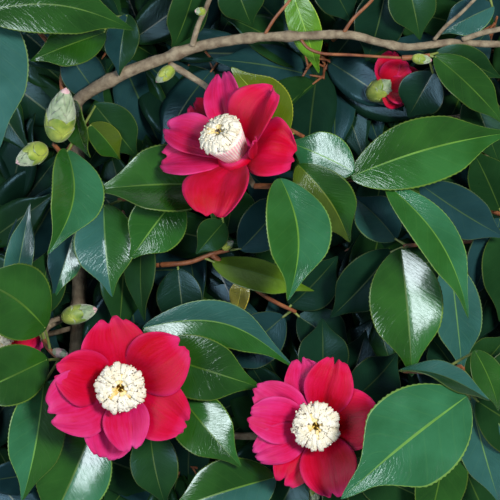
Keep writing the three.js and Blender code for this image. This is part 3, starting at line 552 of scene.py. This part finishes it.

# --- leafy shoots ---
# Each has its twigs, and leaves by foot, tip, width, roll, fold, arch and tone (and bend, twist, drawn out). A tone
# pair sets the two halves of a leaf, and bluish tones on a half are a painted sky sheen.
shoots = {
    "shoot_corner": ([[(34, 26, 56), (10, 8, 62), (-14, 8, 68)], [(34, 26, 56), (80, 12, 60), (112, 18, 62)]], [
        (-20, 12, 86, 134, 30, 80, 26, 1, 18, 3, "green", -0.09), (-12, 0, 76, 0, 148, 78, 30, -20, 10, 5, "blue"),
        (106, 32, 63, 30, 61, 72, 19, -8, 12, 2, "green"), (66, 50, 51, 104, 104, 45, 20, 4, 10, 2, "slate"),
        (128, 14, 62, 119, 76, 60, 16, 6, 14, 2, "dark/slate"), (-20, 0, 64, -62, -38, 52, 28, 0, 14, 4, "green"),
        (40, 6, 58, 60, -52, 48, 27, 10, 14, 4, "dark")]),
    "shoot_buds": ([[(62, 156, 54), (57, 148, 60), (53, 144, 62)], [(62, 156, 54), (68, 150, 59), (74, 140, 62)],
        [(80, 200, 33), (82, 206, 40), (81, 214, 47)]], [
        (66, 149, 64, 48, 254, 86, 25, -23, 24, 5, "teal/fresh", -0.11),
        (80, 217, 50, 53, 300, 56, 17, 0, 12, 3, "teal/slate"), (75, 100, 66, 90, 158, 62, 14, 40, 20, 2, "green"),
        (90, 124, 56, 120, 160, 50, 15, -24, 8, 2, "olive/green"), (94, 104, 54, 138, 158, 46, 21, 6, 6, 1, "dark")]),
    "shoot_west": ([[(248.5, 175.5, 68), (216, 190, 66), (176, 194, 62), (118, 200, 56)],
        [(243, 165, 64), (254, 152, 63), (264, 141, 62)],
        [(232, 125, 58), (258, 118, 59), (280, 125, 61), (304, 137, 62)]], [
        (226, 186, 65, 95, 190, 72, 34, 24, 26, 2, "green"), (284, 140, 63, 231, 67, 69, 24, -6, 8, 1, "lime", 0.06),
        (178, 196, 66, 129, 260, 70, 26, -6, 10, 3, "fresh"),
        (104, 204, 58, 112, 297, 64, 29, 12, 14, 4, "fresh/blue"),
        (146, 214, 52, 144, 322, 46, 18, 30, 12, 3, "dark"), (224, 222, 58, 196, 254, 62, 15, -10, 14, 2, "dark")]),
    "shoot_east": ([[(254, 186, 72), (300, 186, 74), (345, 180, 76), (398, 181, 78)]], [
        (280, 178, 82, 288, 301, 88, 30, -16, 18, 5, "teal/fresh", -0.11),
        (298, 164, 80, 350, 243, 72, 24, 16, 16, 4, "green/olive", -0.1),
        (350, 177, 84, 512, 132, 83, 30, -6, 12, 2, "green/fresh", -0.05),
        (386, 184, 84, 469, 318, 92, 19, -10, 10, 5, "teal/fresh", -0.07),
        (354, 172, 85, 286, 141, 75, 21, -2, 4, 0.4, "teal"), (420, 184, 70, 506, 238, 62, 22, 8, 14, 3, "slate")]),
    "shoot_centre": ([[(160, 265, 42), (190, 262, 47), (212, 254, 50), (229, 250, 53)],
        [(212, 255, 50), (232, 270, 48), (268, 298, 44), (296, 312, 42)]], [
        (212, 262, 50, 314, 292, 56, 17, 150, 10, -3, "green"), (240, 250, 52, 292, 192, 50, 22, 10, 12, 3, "slate"),
        (226, 234, 52, 232, 176, 48, 22, 14, 12, 2, "dark"), (244, 279, 46, 236, 318, 40, 11, 30, 10, 1, "yellow"),
        (178, 268, 44, 186, 332, 40, 22, 10, 12, 2, "deep"), (298, 316, 42, 352, 352, 42, 23, -14, 12, 2, "deep"),
        (284, 316, 40, 220, 370, 38, 24, 2, 12, 2, "slate"), (290, 306, 42, 338, 256, 44, 23, 8, 12, 3, "deep")]),
    "shoot_left": ([[(44, 340, 48), (50, 350, 52), (60, 360, 54)]], [
        (46, 329, 62, -36, 276, 74, 34, 8, 12, 4, "green", 0.09), (48, 359, 62, -40, 400, 76, 27, 6, 14, 4, "green"),
        (44, 380, 58, 22, 502, 62, 26, -14, 10, 3, "green/teal"), (36, 318, 56, 53, 244, 50, 20, 12, 10, 3, "dark"),
        (12, 300, 52, 30, 203, 60, 13, 2, 10, 2, "blue")]),
    "shoot_bloom": ([[(119, 387, 47), (121, 391, 52)]], [
        (150, 352, 56, 262, 388, 61, 29, -7, 14, 4, "green"),
        (176, 390, 57, 241, 467, 70, 26, -4, 10, 2, "fresh/green"),
        (142, 328, 53, 294, 368, 53, 21, 4, 12, 3, "blue/fresh", -0.15),
        (94, 424, 51, 46, 532, 53, 34, -1, 14, 3, "teal/green"), (150, 428, 50, 166, 506, 48, 23, 8, 12, 3, "dark")]),
    "shoot_lower": ([[(300, 430, 46), (306, 428, 52), (311, 427, 55)],
        [(306, 428, 52), (306, 456, 48), (308, 486, 47)]], [
        (276, 477, 60, 168, 512, 64, 30, 12, 14, 4, "blue/green"), (352, 462, 50, 440, 504, 46, 25, 8, 12, 4, "dark"),
        (330, 470, 50, 372, 548, 44, 26, -8, 12, 4, "dark"), (300, 470, 48, 262, 552, 44, 25, 8, 12, 4, "dark"),
        (322, 384, 52, 322, 318, 50, 24, 8, 14, 3, "deep"), (346, 396, 46, 366, 330, 42, 20, 0, 12, 2, "deep"),
        (352, 400, 50, 398, 352, 48, 24, 8, 14, 3, "deep")]),
    "shoot_right": ([[(462, 366, 52), (463, 384, 66), (466, 394, 84)],
        [(462, 366, 52), (442, 372, 74), (404, 371, 89)]], [
        (467, 396, 100, 341, 499, 112, 42, 6, 9, 5, "teal", 0.04, 0, 0.08),
        (398, 371, 93, 490, 400, 95, 17, -56, 16, 4, "blue/dark", 0, 60),
        (474, 350, 86, 499, 411, 88, 15, -22, 10, 2, "green"), (468, 378, 50, 508, 334, 46, 20, 4, 12, 2, "dark"),
        (456, 372, 48, 430, 336, 44, 18, 4, 12, 2, "deep"), (470, 396, 66, 500, 504, 56, 22, 12, 12, 4, "blue"),
        (480, 380, 62, 560, 360, 52, 27, 8, 14, 4, "dark"), (476, 400, 70, 560, 452, 58, 29, 8, 14, 4, "dark"),
        (449, 428, 62, 424, 540, 56, 24, -8, 12, 3, "green")]),
    "shoot_spread": ([[(478, 240, 38), (440, 243, 52), (404, 246, 64)]], [
        (401, 248, 70, 412, 377, 77, 33, 6.6, 10, 2, "fresh/green"),
        (450, 262, 54, 462, 374, 54, 24, -14, 14, 3, "blue"), (392, 250, 60, 330, 318, 52, 24, -8, 12, 3, "deep"),
        (396, 240, 58, 352, 196, 54, 22, 14, 12, 3, "blue/slate")]),
    "shoot_edge": ([[(482.5, 205, 38), (500, 214, 46), (520, 216, 50)]], [
        (506, 226, 50, 500, 322, 52, 25, -6, 14, 3, "dark"), (500, 210, 46, 470, 146, 52, 20, 0, 12, 3, "dark"),
        (500, 218, 48, 470, 300, 48, 21, -8, 12, 3, "slate"), (472, 92, 50, 500, 166, 52, 21, 4, 12, 3, "dark"),
        (528, 220, 54, 566, 292, 46, 28, -8, 14, 4, "green"), (526, 208, 54, 566, 150, 46, 27, 8, 14, 4, "green")]),
    "shoot_tip": ([[(402, 58, 61), (418, 57, 62), (430, 55, 63)]], [
        (434, 56, 64, 504, 124, 66, 19, -14, 10, 4, "green"), (436, 52, 58, 502, 78, 57, 15, 4, 12, 2, "dark"),
        (434, 72, 56, 408, 118, 46, 22, 10, 12, 2, "deep")]),
    "shoot_top_left": ([[(218, -22, 60), (222, -34, 60), (226, -46, 58)]], [
        (196, -18, 56, 172, 50, 50, 20, -30, 12, 3, "dark"), (214, -44, 58, 140, -30, 56, 26, 10, 12, 4, "green"),
        (232, -24, 56, 252, 26, 50, 22, 8, 12, 3, "dark")]),
    "shoot_top_middle": ([[(300, -24, 62), (304, -36, 60), (306, -46, 58)]], [
        (290, -14, 56, 319, 74, 48, 15, 14, 12, 2, "vivid"), (318, -34, 56, 352, 24, 50, 22, -10, 12, 3, "deep"),
        (296, -52, 54, 252, -62, 50, 20, 8, 12, 3, "green")]),
    "shoot_top_right": ([[(388, -22, 62), (394, -34, 60), (400, -44, 58)]], [
        (386, -12, 54, 366, 62, 46, 24, -8, 12, 3, "deep"), (406, -24, 60, 420, 40, 57, 22, 4, 12, 3, "dark"),
        (412, -46, 56, 462, -58, 50, 22, 8, 12, 3, "green")]),
    "shoot_top_corner": ([[(482, -8, 62), (490, -18, 60), (496, -28, 58)]], [
        (494, 6, 56, 440, 34, 50, 17, 10, 14, 2, "blue/slate"), (506, -34, 56, 560, -60, 50, 25, 8, 12, 3, "green")]),
    "shoot_far": ([[(548, 40, 54), (558, 44, 54), (566, 50, 54)]], [
        (556, 56, 56, 520, 116, 54, 25, 8, 12, 3, "dark"), (566, 40, 56, 572, -30, 50, 26, 8, 12, 3, "green")]),
}
twigDetail = {"radii": (1.3, 0.9), "relief": 0.05, "stalkRadii": (0.75, 0.55), "behind": 4, "sag": 0.1}
for number, (name, (twigs, leaves)) in enumerate(shoots.items()):
    draw = draws(101 + 7 * number)
    wood, foliage = bmesh.new(), bmesh.new()
    places = []
    for twig in map(routeOf, twigs):
        line = curveThrough(twig, 24)
        tube(wood, line, tapered(*twigDetail["radii"]), 8, 0, twigDetail["relief"])
        places += line[1:-1]
    for row in leaves:
        foot, tip = at(*row[:3]), at(*row[3:6])
        width, roll, fold, arch, tone, *more = row[6:]
        surface = leaf(foliage, foot, tip, width * mm, roll, fold, arch * mm, tone, draw, True, *more)
        behind = foot - (tip - foot).normalized() * twigDetail["behind"] * mm
        root = min(places, key=lambda place: (place - behind).length)
        end = surface(0, 0.03)
        middle = root.lerp(end, 0.5) - Vector((0, 0, twigDetail["sag"] * (end - root).length))
        tube(wood, curveThrough([root, middle, end], 8), tapered(*twigDetail["stalkRadii"]), 6, 1)
    foliagePieces(name, foliage, wood, ["bark_young", "bark_green"])
print("shoots made")

# --- blooms ---
blooms = {    # middle, way it faces, boss (low radius, wide radius, base, top, side of the dark specks),
    # and petals by tip, height off, width, fold and tone, tone 1 being the red with a painted pink sheen (a small inner
    # one: own start and arch)
    "bloom_1": ((227, 142, 90), (-0.439, 0.505, 0.743), (7.4, 10, -8, 9, (-0.4, 1)), [
        ((222, 76), 0, 16, 20, 1), ((271, 90), 0, 24, 14, 0), ((292, 154), -12, 27, 9, 0),
        ((213, 214), -9, 30, 9, 0), ((164, 160), -2, 21, 10, 1), ((168, 128), -1, 18, 12, 1),
        ((194, 104), -5, 13, 8, 0), ((255, 140), 3, 7, 14, 0, 9.4, 0.6)]),
    "bloom_2": ((121, 387, 78), (0.03, 0.02, 0.999), (7, 11, -6, 9, (1, 0.2)), [
        ((110, 321), 0, 27, 7, 0), ((181, 346), 1, 27, 8, 0), ((184, 424), 0, 25, 7, 0),
        ((131, 447), 2, 19, 12, 1), ((106, 456), -4, 22, 5, 1), ((52, 414), -1, 28, 8, 1),
        ((59, 371), 3, 23, 6, 0)]),
    "bloom_3": ((317, 426, 78), (-0.12, 0.1, 0.988), (7, 10.5, -6, 9, (-1, 0.6)), [
        ((302, 361), -3, 19, 6, 1), ((337, 361), 0, 20, 9, 0), ((377, 414), 0, 25, 7, 0),
        ((337, 494), 1, 23, 10, 0), ((284, 482), 0, 18, 7, 0), ((257, 455), -2, 16, 9, 1),
        ((251, 416), 1, 19, 10, 1), ((258, 389), -3, 17, 7, 1)]),
    "bloom_4": ((-2, 338, 43), (0.05, 0, 0.998), (4.5, 7.2, -3.3, 7, (0, 1)), [
        ((-4, 295), 0, 20, 7, 0), ((38, 322), -1, 20, 7, 0), ((38, 356), -2, 19, 7, 1), ((-2, 384), -1, 21, 7, 0),
        ((-44, 358), 0, 20, 7, 0), ((-44, 318), -1, 20, 7, 1)]),
}
petalDetail = {"columns": 18, "rows": 26, "thick": 0.35, "folds": 3.2, "crumple": 1.0, "valley": 1.1, "notch": 0.1,
    "bulge": 0.05, "sway": 0.06, "recurve": 0.22, "recurveFrom": 0.72, "broader": 1.1, "layer": 1.8,
    "sunk": 3.4}


def offPlane(x, y, off, middle, facing):    # the place over x, y, so far off the bloom's plane
    z = middle.z / mm
    for _ in range(6):
        arm = at(x, y, z) - middle
        z = middle.z / mm + (off - (arm.x * facing.x + arm.y * facing.y) / mm) / facing.z
    return at(x, y, z)


def petal(bm, foot, tip, width, facing, draw, fold, arch, tone=0):
    axis, up, side = framed(foot, tip, 0, facing)
    lift = tan(radians(fold))
    start = Vector((draw(0, 50), draw(0, 50), draw(0, 50)))
    notch = petalDetail["notch"] * draw(0.3, 1.3)
    crease = draw(-0.3, 0.3)
    valley = petalDetail["valley"] * mm * draw(0.4, 1.3)
    folds, crumple = petalDetail["folds"] * mm * width / 0.024, petalDetail["crumple"] * mm

    def wobble(x, y, z):
        return noise.noise(start + Vector((x, y, z)))

    def surface(x, part):
        size = abs(x)
        half = width / 2 * sin(pi * (0.08 + 0.84 * part ** 1.25)) ** 0.56
        reach = part * (1 - notch * exp(-((x - crease) / 0.17) ** 2) * part ** 5)
        reach += petalDetail["bulge"] * ((1 - size ** 2) * part ** 5 + wobble(x * 2.6, 0, 0) * part ** 4)
        rise = arch * 4 * part * (1 - part) + size ** 2 * half * lift
        rise += folds * wobble(x * 1.5, part * 0.8, 3) * part
        rise += crumple * wobble(x * 4.2, part * 2.4, 9) * part ** 1.5
        rise -= valley * exp(-((x - crease) / 0.2) ** 2) * sin(pi * part ** 0.8)
        rise -= petalDetail["recurve"] * half * max(0, part - petalDetail["recurveFrom"]) ** 1.6 * 4
        sway = petalDetail["sway"] * width * wobble(5, part * 2, 0) * part
        return foot + axis * reach + side * (x * half + sway) + up * rise
    shapedGrid(bm, petalDetail["columns"], petalDetail["rows"], surface, tone)


def petalMesh():
    bm = bmesh.new()
    bm.loops.layers.uv.verify()
    return bm


# A boss has a wall of fused filaments, rings of broad lobes over it, grainy tips, and dark specks on one side.
bossSkins = ("filament", "anther", "anther_spent", "boss_heart", "filament_wall", "anther_cream")
filament, anther, spent, heart, wall, cream = range(6)
bossDetail = {"rings": ((0.58, 1.0, 25, 2.5), (0.32, 0.84, 20, 2.6), (0.17, 0.56, 11, 2.2)), "stripes": 42,
    "tips": 90, "specks": 15, "pit": 0.17, "lobeThick": 0.3}


def boss(bm, middle, facing, low, wide, base, top, speckSide, draw):
    sides = sidesOf(facing)
    tall, pit, stripes = top - base, bossDetail["pit"] * wide, 2 * bossDetail["stripes"]

    def place(radius, turn, height):
        return middle + facing * height + spun(sides, turn) * radius

    def turnOf(arm):
        return atan2(arm.dot(sides[1]), arm.dot(sides[0]))

    def crownAt(share):
        return top - 3.0 * mm * share ** 4 - 1.5 * mm * max(0, 1 - share * 2.2) ** 2
    outline = ((low * 0.85, 0), (low, 0.25), ((low + wide) * 0.49, 0.5), (wide * 0.96, 0.74), (wide * 0.9, 0.8),
        (wide * 0.5, 0.84), (pit, 0.8), (pit * 0.8, 0.5), (pit * 0.3, 0.48))
    turned(bm, middle, facing, [(radius, base + share * tall) for radius, share in outline], stripes)
    for face in bm.faces:
        arm = face.calc_center_median() - middle
        height = arm.dot(facing)
        if (arm - facing * height).length < pit * 1.5:
            face.material_index = heart
        elif height < base + 0.7 * tall:
            stripe = floor(turnOf(arm) / (2 * pi) * stripes)
            face.material_index = wall if stripe % 2 else filament
    lobes = []
    for ring, (inner, outer, count, broad) in enumerate(bossDetail["rings"]):
        for k in range(count):
            turn = 2 * pi * (k + draw(-0.35, 0.35)) / count + ring
            width = broad * mm * draw(0.8, 1.35) * wide / (10 * mm)
            start, end = inner * wide, outer * wide * draw(0.92, 1.06)
            lift = draw(-0.5, 0.5) * mm
            seed = draw(0, 90)

            def surface(x, part):
                half = width / 2 * (0.5 + 0.5 * part) * (1 - 0.3 * part ** 6)
                radius = start + (end - start) * part + 0.8 * mm * noise.noise(Vector((x * 2.4, seed, 0))) * part ** 3
                height = crownAt(radius / wide) + lift - 0.45 * half * x * x + 0.3 * mm * (1 - ring)
                height += 0.5 * mm * noise.noise(Vector((x * 2, part * 3, seed)))
                return place(radius, turn, height) + spun(sides, turn + pi / 2) * half * x
            verts = shapedGrid(bm, 5, 8, surface, cream if ring == 2 and k % 3 else anther)
            lobes += {f for v in verts for f in v.link_faces}
    bmesh.ops.solidify(bm, geom=lobes, thickness=bossDetail["lobeThick"] * mm)
    sideTurn = turnOf(Vector((*speckSide, 0)))
    golden = pi * (3 - 5 ** 0.5)
    for k in range(bossDetail["tips"] + bossDetail["specks"]):
        dark = k >= bossDetail["tips"]
        share = draw(0.62, 1.0) if dark else sqrt((k + 20.5) / (bossDetail["tips"] + 20))
        turn = sideTurn + draw(-0.75, 0.75) if dark else k * golden + draw(-0.2, 0.2)
        size = draw(0.24, 0.36) * mm if dark else draw(0.3, 0.5) * mm
        made = bmesh.ops.create_icosphere(bm, subdivisions=1, radius=size)["verts"]
        radius = wide * share * draw(0.97, 1.03)
        end = place(radius, turn, crownAt(share) + draw(0.2, 0.8) * mm + (0.3 * mm if dark else 0))
        lean = Quaternion((draw(-1, 1), draw(-1, 1), draw(-1, 1)), draw(0.3, 1.5))
        for vert in made:
            vert.co.z *= 1.0 if dark else 1.7
            vert.co.rotate(lean)
            vert.co += end
            for face in vert.link_faces:
                face.material_index = spent if dark else anther if share > 0.36 else heart
    for k in range(3):    # the styles in the middle
        route = [place(pit * 0.3, 2.1 * k, base + 0.5 * tall), place(pit * 0.5, 2.1 * k + 0.3, top - 1.8 * mm),
            place(pit * 0.9, 2.1 * k + 0.5, top - 0.9 * mm)]
        tube(bm, route, tapered(0.3, 0.3), 6, heart)


for number, (name, (middle, facing, sizes, petals)) in enumerate(blooms.items()):
    draw = draws(911 + 13 * number)
    middle, facing = at(*middle), Vector(facing).normalized()
    low, wide, base, top = (size * mm for size in sizes[:4])
    bm = petalMesh()
    turned(bm, middle, facing, [(1.4 * mm, base - 9 * mm), (low * 0.8, base - 5 * mm),
        (low + 2 * mm, base - mm), (low, base + mm)], 20)
    for k, (spot, off, width, fold, tone, *own) in enumerate(petals):
        layer = petalDetail["layer"] * mm if k % 2 else 0
        tip = offPlane(*spot, off + layer / mm, middle, facing)
        out = tip - middle
        out = (out - facing * out.dot(facing)).normalized()
        start, arch = (own[0] * mm, own[1] * mm) if own else (low - mm, 4 * mm)
        foot = middle + facing * (base - petalDetail["sunk"] * mm + layer * 0.7) + out * start
        petal(bm, foot, tip, width * mm * petalDetail["broader"], facing, draw, fold, arch, tone)
    thicken(piece(f"{name}_petals", bm, petalTones, [name]), petalDetail["thick"])
    bm = bmesh.new()
    boss(bm, middle, facing, low, wide, base, top, sizes[4], draw)
    piece(f"{name}_boss", bm, bossSkins, [f"{name}_stamens"])

# The bloom that shows its side, half open: its petals by tip and width.
sidePetals = (((392, 53, 43), 12), ((407, 66, 48), 15), ((423, 81, 41), 15), ((405, 101, 39), 14),
    ((402, 60, 39), 14), ((414, 92, 44), 13))
draw = draws(977)
bm = petalMesh()
foot, mouth = at(372, 93, 38), at(398, 78, 42)
axis = (mouth - foot).normalized()
facing = Vector((-axis.x * 0.3, -axis.y * 0.3, 1)).normalized()
for tip, width in sidePetals:
    petal(bm, foot + axis * 7 * mm, at(*tip), width * mm, facing, draw, 14, 3 * mm)
thicken(piece("bloom_5_petals", bm, petalTones, ["bloom_5"]), petalDetail["thick"])
print("blooms made")

# --- buds ---
budDetail = {"tipFrom": 0.93, "scaleThick": 0.3, "spread": 0.86, "overlap": 0.045, "lip": 0.05, "core": 0.92,
    "rounded": 0.1}


def budShape(share):    # radius along a bud, as a share of its width
    fullness = sin(pi * min(share ** 0.84, 1)) ** 0.56
    return 0.5 * fullness * (1 - 0.1 * share) + 0.01


def bud(bm, foot, tip, width, tiers, draw):    # tiers are (share of the length reached, skin) from the outside in
    axis = tip - foot
    along = axis.normalized()
    sides = sidesOf(along)
    outline = [(width * budShape(k / 14) * budDetail["core"], axis.length * k / 14) for k in range(15)]
    for face in turned(bm, foot, along, outline, 20, 1):
        if (face.calc_center_median() - foot).dot(along) > budDetail["tipFrom"] * axis.length:
            face.material_index = 2
    for tier, (reach, skin) in enumerate(tiers):
        proud = 1 + budDetail["overlap"] * (len(tiers) - tier)
        count = 5 if tier else 4
        for k in range(count):
            turn = 2 * pi * (k / count + 0.41 * tier) + draw(-0.15, 0.15)
            tall = reach * draw(0.92, 1.05)

            def place(x, part):
                share = 0.01 + (tall - 0.01) * part * (1 - budDetail["rounded"] * x * x * part)
                angle = turn + budDetail["spread"] * x * sqrt(max(1 - part ** 3.5, 0.0)) ** 0.9
                radius = width * budShape(share) * (proud + budDetail["lip"] * part ** 6 - 0.02 * x * x)
                return foot + axis * share + spun(sides, angle) * radius
            verts = shapedGrid(bm, 8, 10, place, skin)
            faces = {f for v in verts for f in v.link_faces}
            for face in sorted(faces, key=lambda f: -f.calc_center_median().dot(along))[:8]:    # its lip
                face.material_index = 1


def budPiece(name, rows, seeds, nodes):    # rows are foot, tip, width and tiers
    bm = bmesh.new()
    for (foot, tip, width, tiers), seed in zip(rows, seeds):
        bud(bm, at(*foot), at(*tip), width * mm, tiers, draws(seed))
    thicken(piece(name, bm, ["bud_scale", "bud_fuzz", "bud_tip"], nodes), budDetail["scaleThick"])


broadBud = ((0.38, 0), (0.6, 0), (0.8, 1), (0.96, 1))
slimBud = ((0.46, 0), (0.76, 0), (0.97, 1))
buds = {    # foot, tip, width, tiers of scales
    "bud_1": ((56.5, 141, 66), (66, 88, 80), 12.0, broadBud),
    "bud_2": ((47, 147, 62), (16, 163, 66), 9.0, slimBud),
    "bud_3": ((62, 318, 44), (97, 309, 50), 8.2, slimBud),
}
smallBuds = [((397, 181, 78), (429, 176, 82), 5.5, ((0.5, 0), (0.75, 1))), ((308, 482, 46), (316, 504, 52), 7, slimBud),
    ((412, 58, 62), (432, 60.5, 64), 4.2, slimBud), ((223, 249, 52.5), (233, 241, 55), 3.6, slimBud),
    ((52, 352, 51), (68, 354, 56), 4.0, ((0.45, 1), (0.8, 2))), ((174, 67, 55.5), (156, 82, 52), 5.5, slimBud),
    ((205, 12, 61.5), (195, 11, 64), 3.4, slimBud)]
calyx = ((367, 97, 35.5), (412, 74, 43), 10.5, ((0.3, 0), (0.5, 0), (0.62, 1)))
for name, row in buds.items():
    budPiece(f"{name}_scales", [row], [31 + len(row[3])], [name])
budPiece("small_buds", smallBuds, range(77, 77 + len(smallBuds)), [])
budPiece("bloom_5_calyx", [calyx], [87], [])
print("buds made")

# --- foliage behind, by the solids' rule, carried on to finer twigs ---
spreads = {f"spread_{number}": row for number, row in enumerate([    # stem's foot, seed, space's corners
    ((77, 140, 41), 11, (-72, -52, 66, 148)), ((80, 250, 28), 23, (-72, 152, 66, 345)),
    ((69, 450, 13), 31, (-72, 349, 50, 562)), ((77, 132, 42), 41, (90, -52, 244, 148)),
    ((80, 235, 29), 53, (90, 152, 244, 345)), ((69, 455, 13), 67, (84, 349, 244, 562)),
    ((338, 35, 58), 71, (248, -52, 402, 148)), ((482, 190, 38), 83, (248, 152, 402, 345)),
    ((262, 434, 36), 91, (248, 349, 402, 562)), ((484, 92, 43), 101, (406, -52, 566, 148)),
    ((479, 236, 38), 113, (406, 152, 566, 345)), ((463, 350, 48), 127, (406, 349, 566, 562)),
], 1)}
growth = {"top": 46, "rimTop": 0.62, "twigs": 8, "attempts": 190, "leaves": 74, "leafGap": 2.3, "limbGap": 1.6,
    "past": 36, "halfSides": (157, 151), "rounded": 4.5, "drop": -24, "rise": 17, "roll": 26, "outerFrom": 0.84}
# Leaves inside the mass take darker tones as painted shade; leaves near its rim take the lighter tones of lit leaves, a
# painted light.
shadedInnerTones = ("deep", "dark", "deep", "slate", "dark")
litOuterTones = ("green", "dark", "fresh", "green", "dark")
samples = ((0.1, 0), (0.3, -1), (0.3, 0), (0.3, 1), (0.5, -1), (0.5, 0), (0.5, 1), (0.75, -0.7), (0.75, 0),
    (0.75, 0.7), (1, 0))    # places on a leaf: share of its length, and side


def stemOf(start, space):
    left, top, right, bottom = space
    x, y = (left + right) / 2, (top + bottom) / 2
    return [at(*start), at((start[0] + x) / 2, (start[1] + y) / 2, 22), at(x, y, 14)]


middleOfAll = np.array(cadBox)[:, :2].mean(axis=0)
guards = []
for name, (places, radii, bark) in limbs.items():
    guards += [(*place, radii[0] * mm, name) for place in curveThrough(routeOf(places), 50)]
for name, (start, seed, space) in spreads.items():
    guards += [(*place, 1.3 * mm, name) for place in curveThrough(stemOf(start, space), 30)]
*guardPlaces, guardRadii, guardOwners = map(np.array, zip(*guards))
guardPlaces = np.array(guardPlaces).T


def isClear(spots, others, kept):    # of the limbs, and of the leaves already there
    gaps = np.linalg.norm(spots[:, None] - guardPlaces[others][None], axis=2) - guardRadii[others]
    if gaps.min() < growth["limbGap"] * mm:
        return False
    return not len(kept) or np.linalg.norm(spots[:, None] - kept[None], axis=2).min() >= growth["leafGap"] * mm


for name, (start, seed, space) in spreads.items():
    draw = draws(seed)
    wood, foliage = bmesh.new(), bmesh.new()
    stem = stemOf(start, space)
    tube(wood, curveThrough(stem, 30), tapered(1.4, 1.0), 8, 0, 0.08)
    left, top, right, bottom = (edge + way * growth["past"] * (-70 < edge < 560)    # not past the plan's rim
        for edge, way in zip(space, (-1, -1, 1, 1)))
    low, high = at(left, bottom, 0), at(right, top, 0)
    others = guardOwners != name
    kept = np.zeros((0, 3))
    leaves = 0
    for twig in range(growth["twigs"]):
        turn = 2 * pi * (twig + draw(-0.25, 0.25)) / growth["twigs"]
        root = stem[2].lerp(stem[1], draw(0, 0.3))
        end = root + Vector((cos(turn), sin(turn), 0)) * draw(10, 30) * mm
        end.z = max(end.z + draw(-8, 20) * mm, 3 * mm)
        used = leaves
        for _ in range(growth["attempts"]):
            origin = root.lerp(end, draw(0.2, 0.97))
            way = turn + draw(-2.6, 2.6)
            long = draw(42, 58) * mm
            width = long * draw(0.4, 0.48)
            heading = Vector((cos(way), sin(way), 0))
            foot = origin + heading * 5 * mm + Vector((0, 0, draw(-1, 2) * mm))
            tip = foot + heading * long + Vector((0, 0, draw(growth["drop"], growth["rise"]) * mm))
            tip.z = max(tip.z, 0.5 * mm)
            roll = draw(-growth["roll"], growth["roll"])
            if leaves >= growth["leaves"] * (twig + 1) / growth["twigs"]:
                continue
            lean = radians(roll)
            side = Vector((heading.y * cos(lean), -heading.x * cos(lean), -sin(lean))) * width * 0.42
            spots = np.array([foot + (tip - foot) * part + side * x for part, x in samples])
            x, y, z = spots.T
            if x.min() < low.x or x.max() > high.x or y.min() < low.y or y.max() > high.y:
                continue
            edge = np.abs(spots[:, :2] - middleOfAll) / (np.array(growth["halfSides"]) * mm)
            outer = edge[samples.index((0.5, 0))].max() > growth["outerFrom"]
            edge = (edge ** growth["rounded"]).sum(axis=1)
            if edge.max() > 1 or (z > growth["top"] * mm * (1 - (1 - growth["rimTop"]) * edge)).any():
                continue
            if not isClear(spots, others, kept):
                continue
            leaves += 1
            kept = np.vstack([kept, spots])
            tone = (litOuterTones if outer else shadedInnerTones)[leaves % 5]
            surface = leaf(foliage, foot, tip, width, roll, 8, 3 * mm, tone, draw, False)
            stalk = curveThrough([origin, origin.lerp(surface(0, 0.04), 0.5), surface(0, 0.04)], 4)
            tube(wood, stalk, tapered(0.7, 0.5), 5)
        if leaves > used:
            tube(wood, curveThrough([root, root.lerp(end, 0.5), end], 12), tapered(0.9, 0.6), 6, 0, 0.05)
    foliagePieces(name, foliage, wood, ["bark_young"])
print("foliage made")
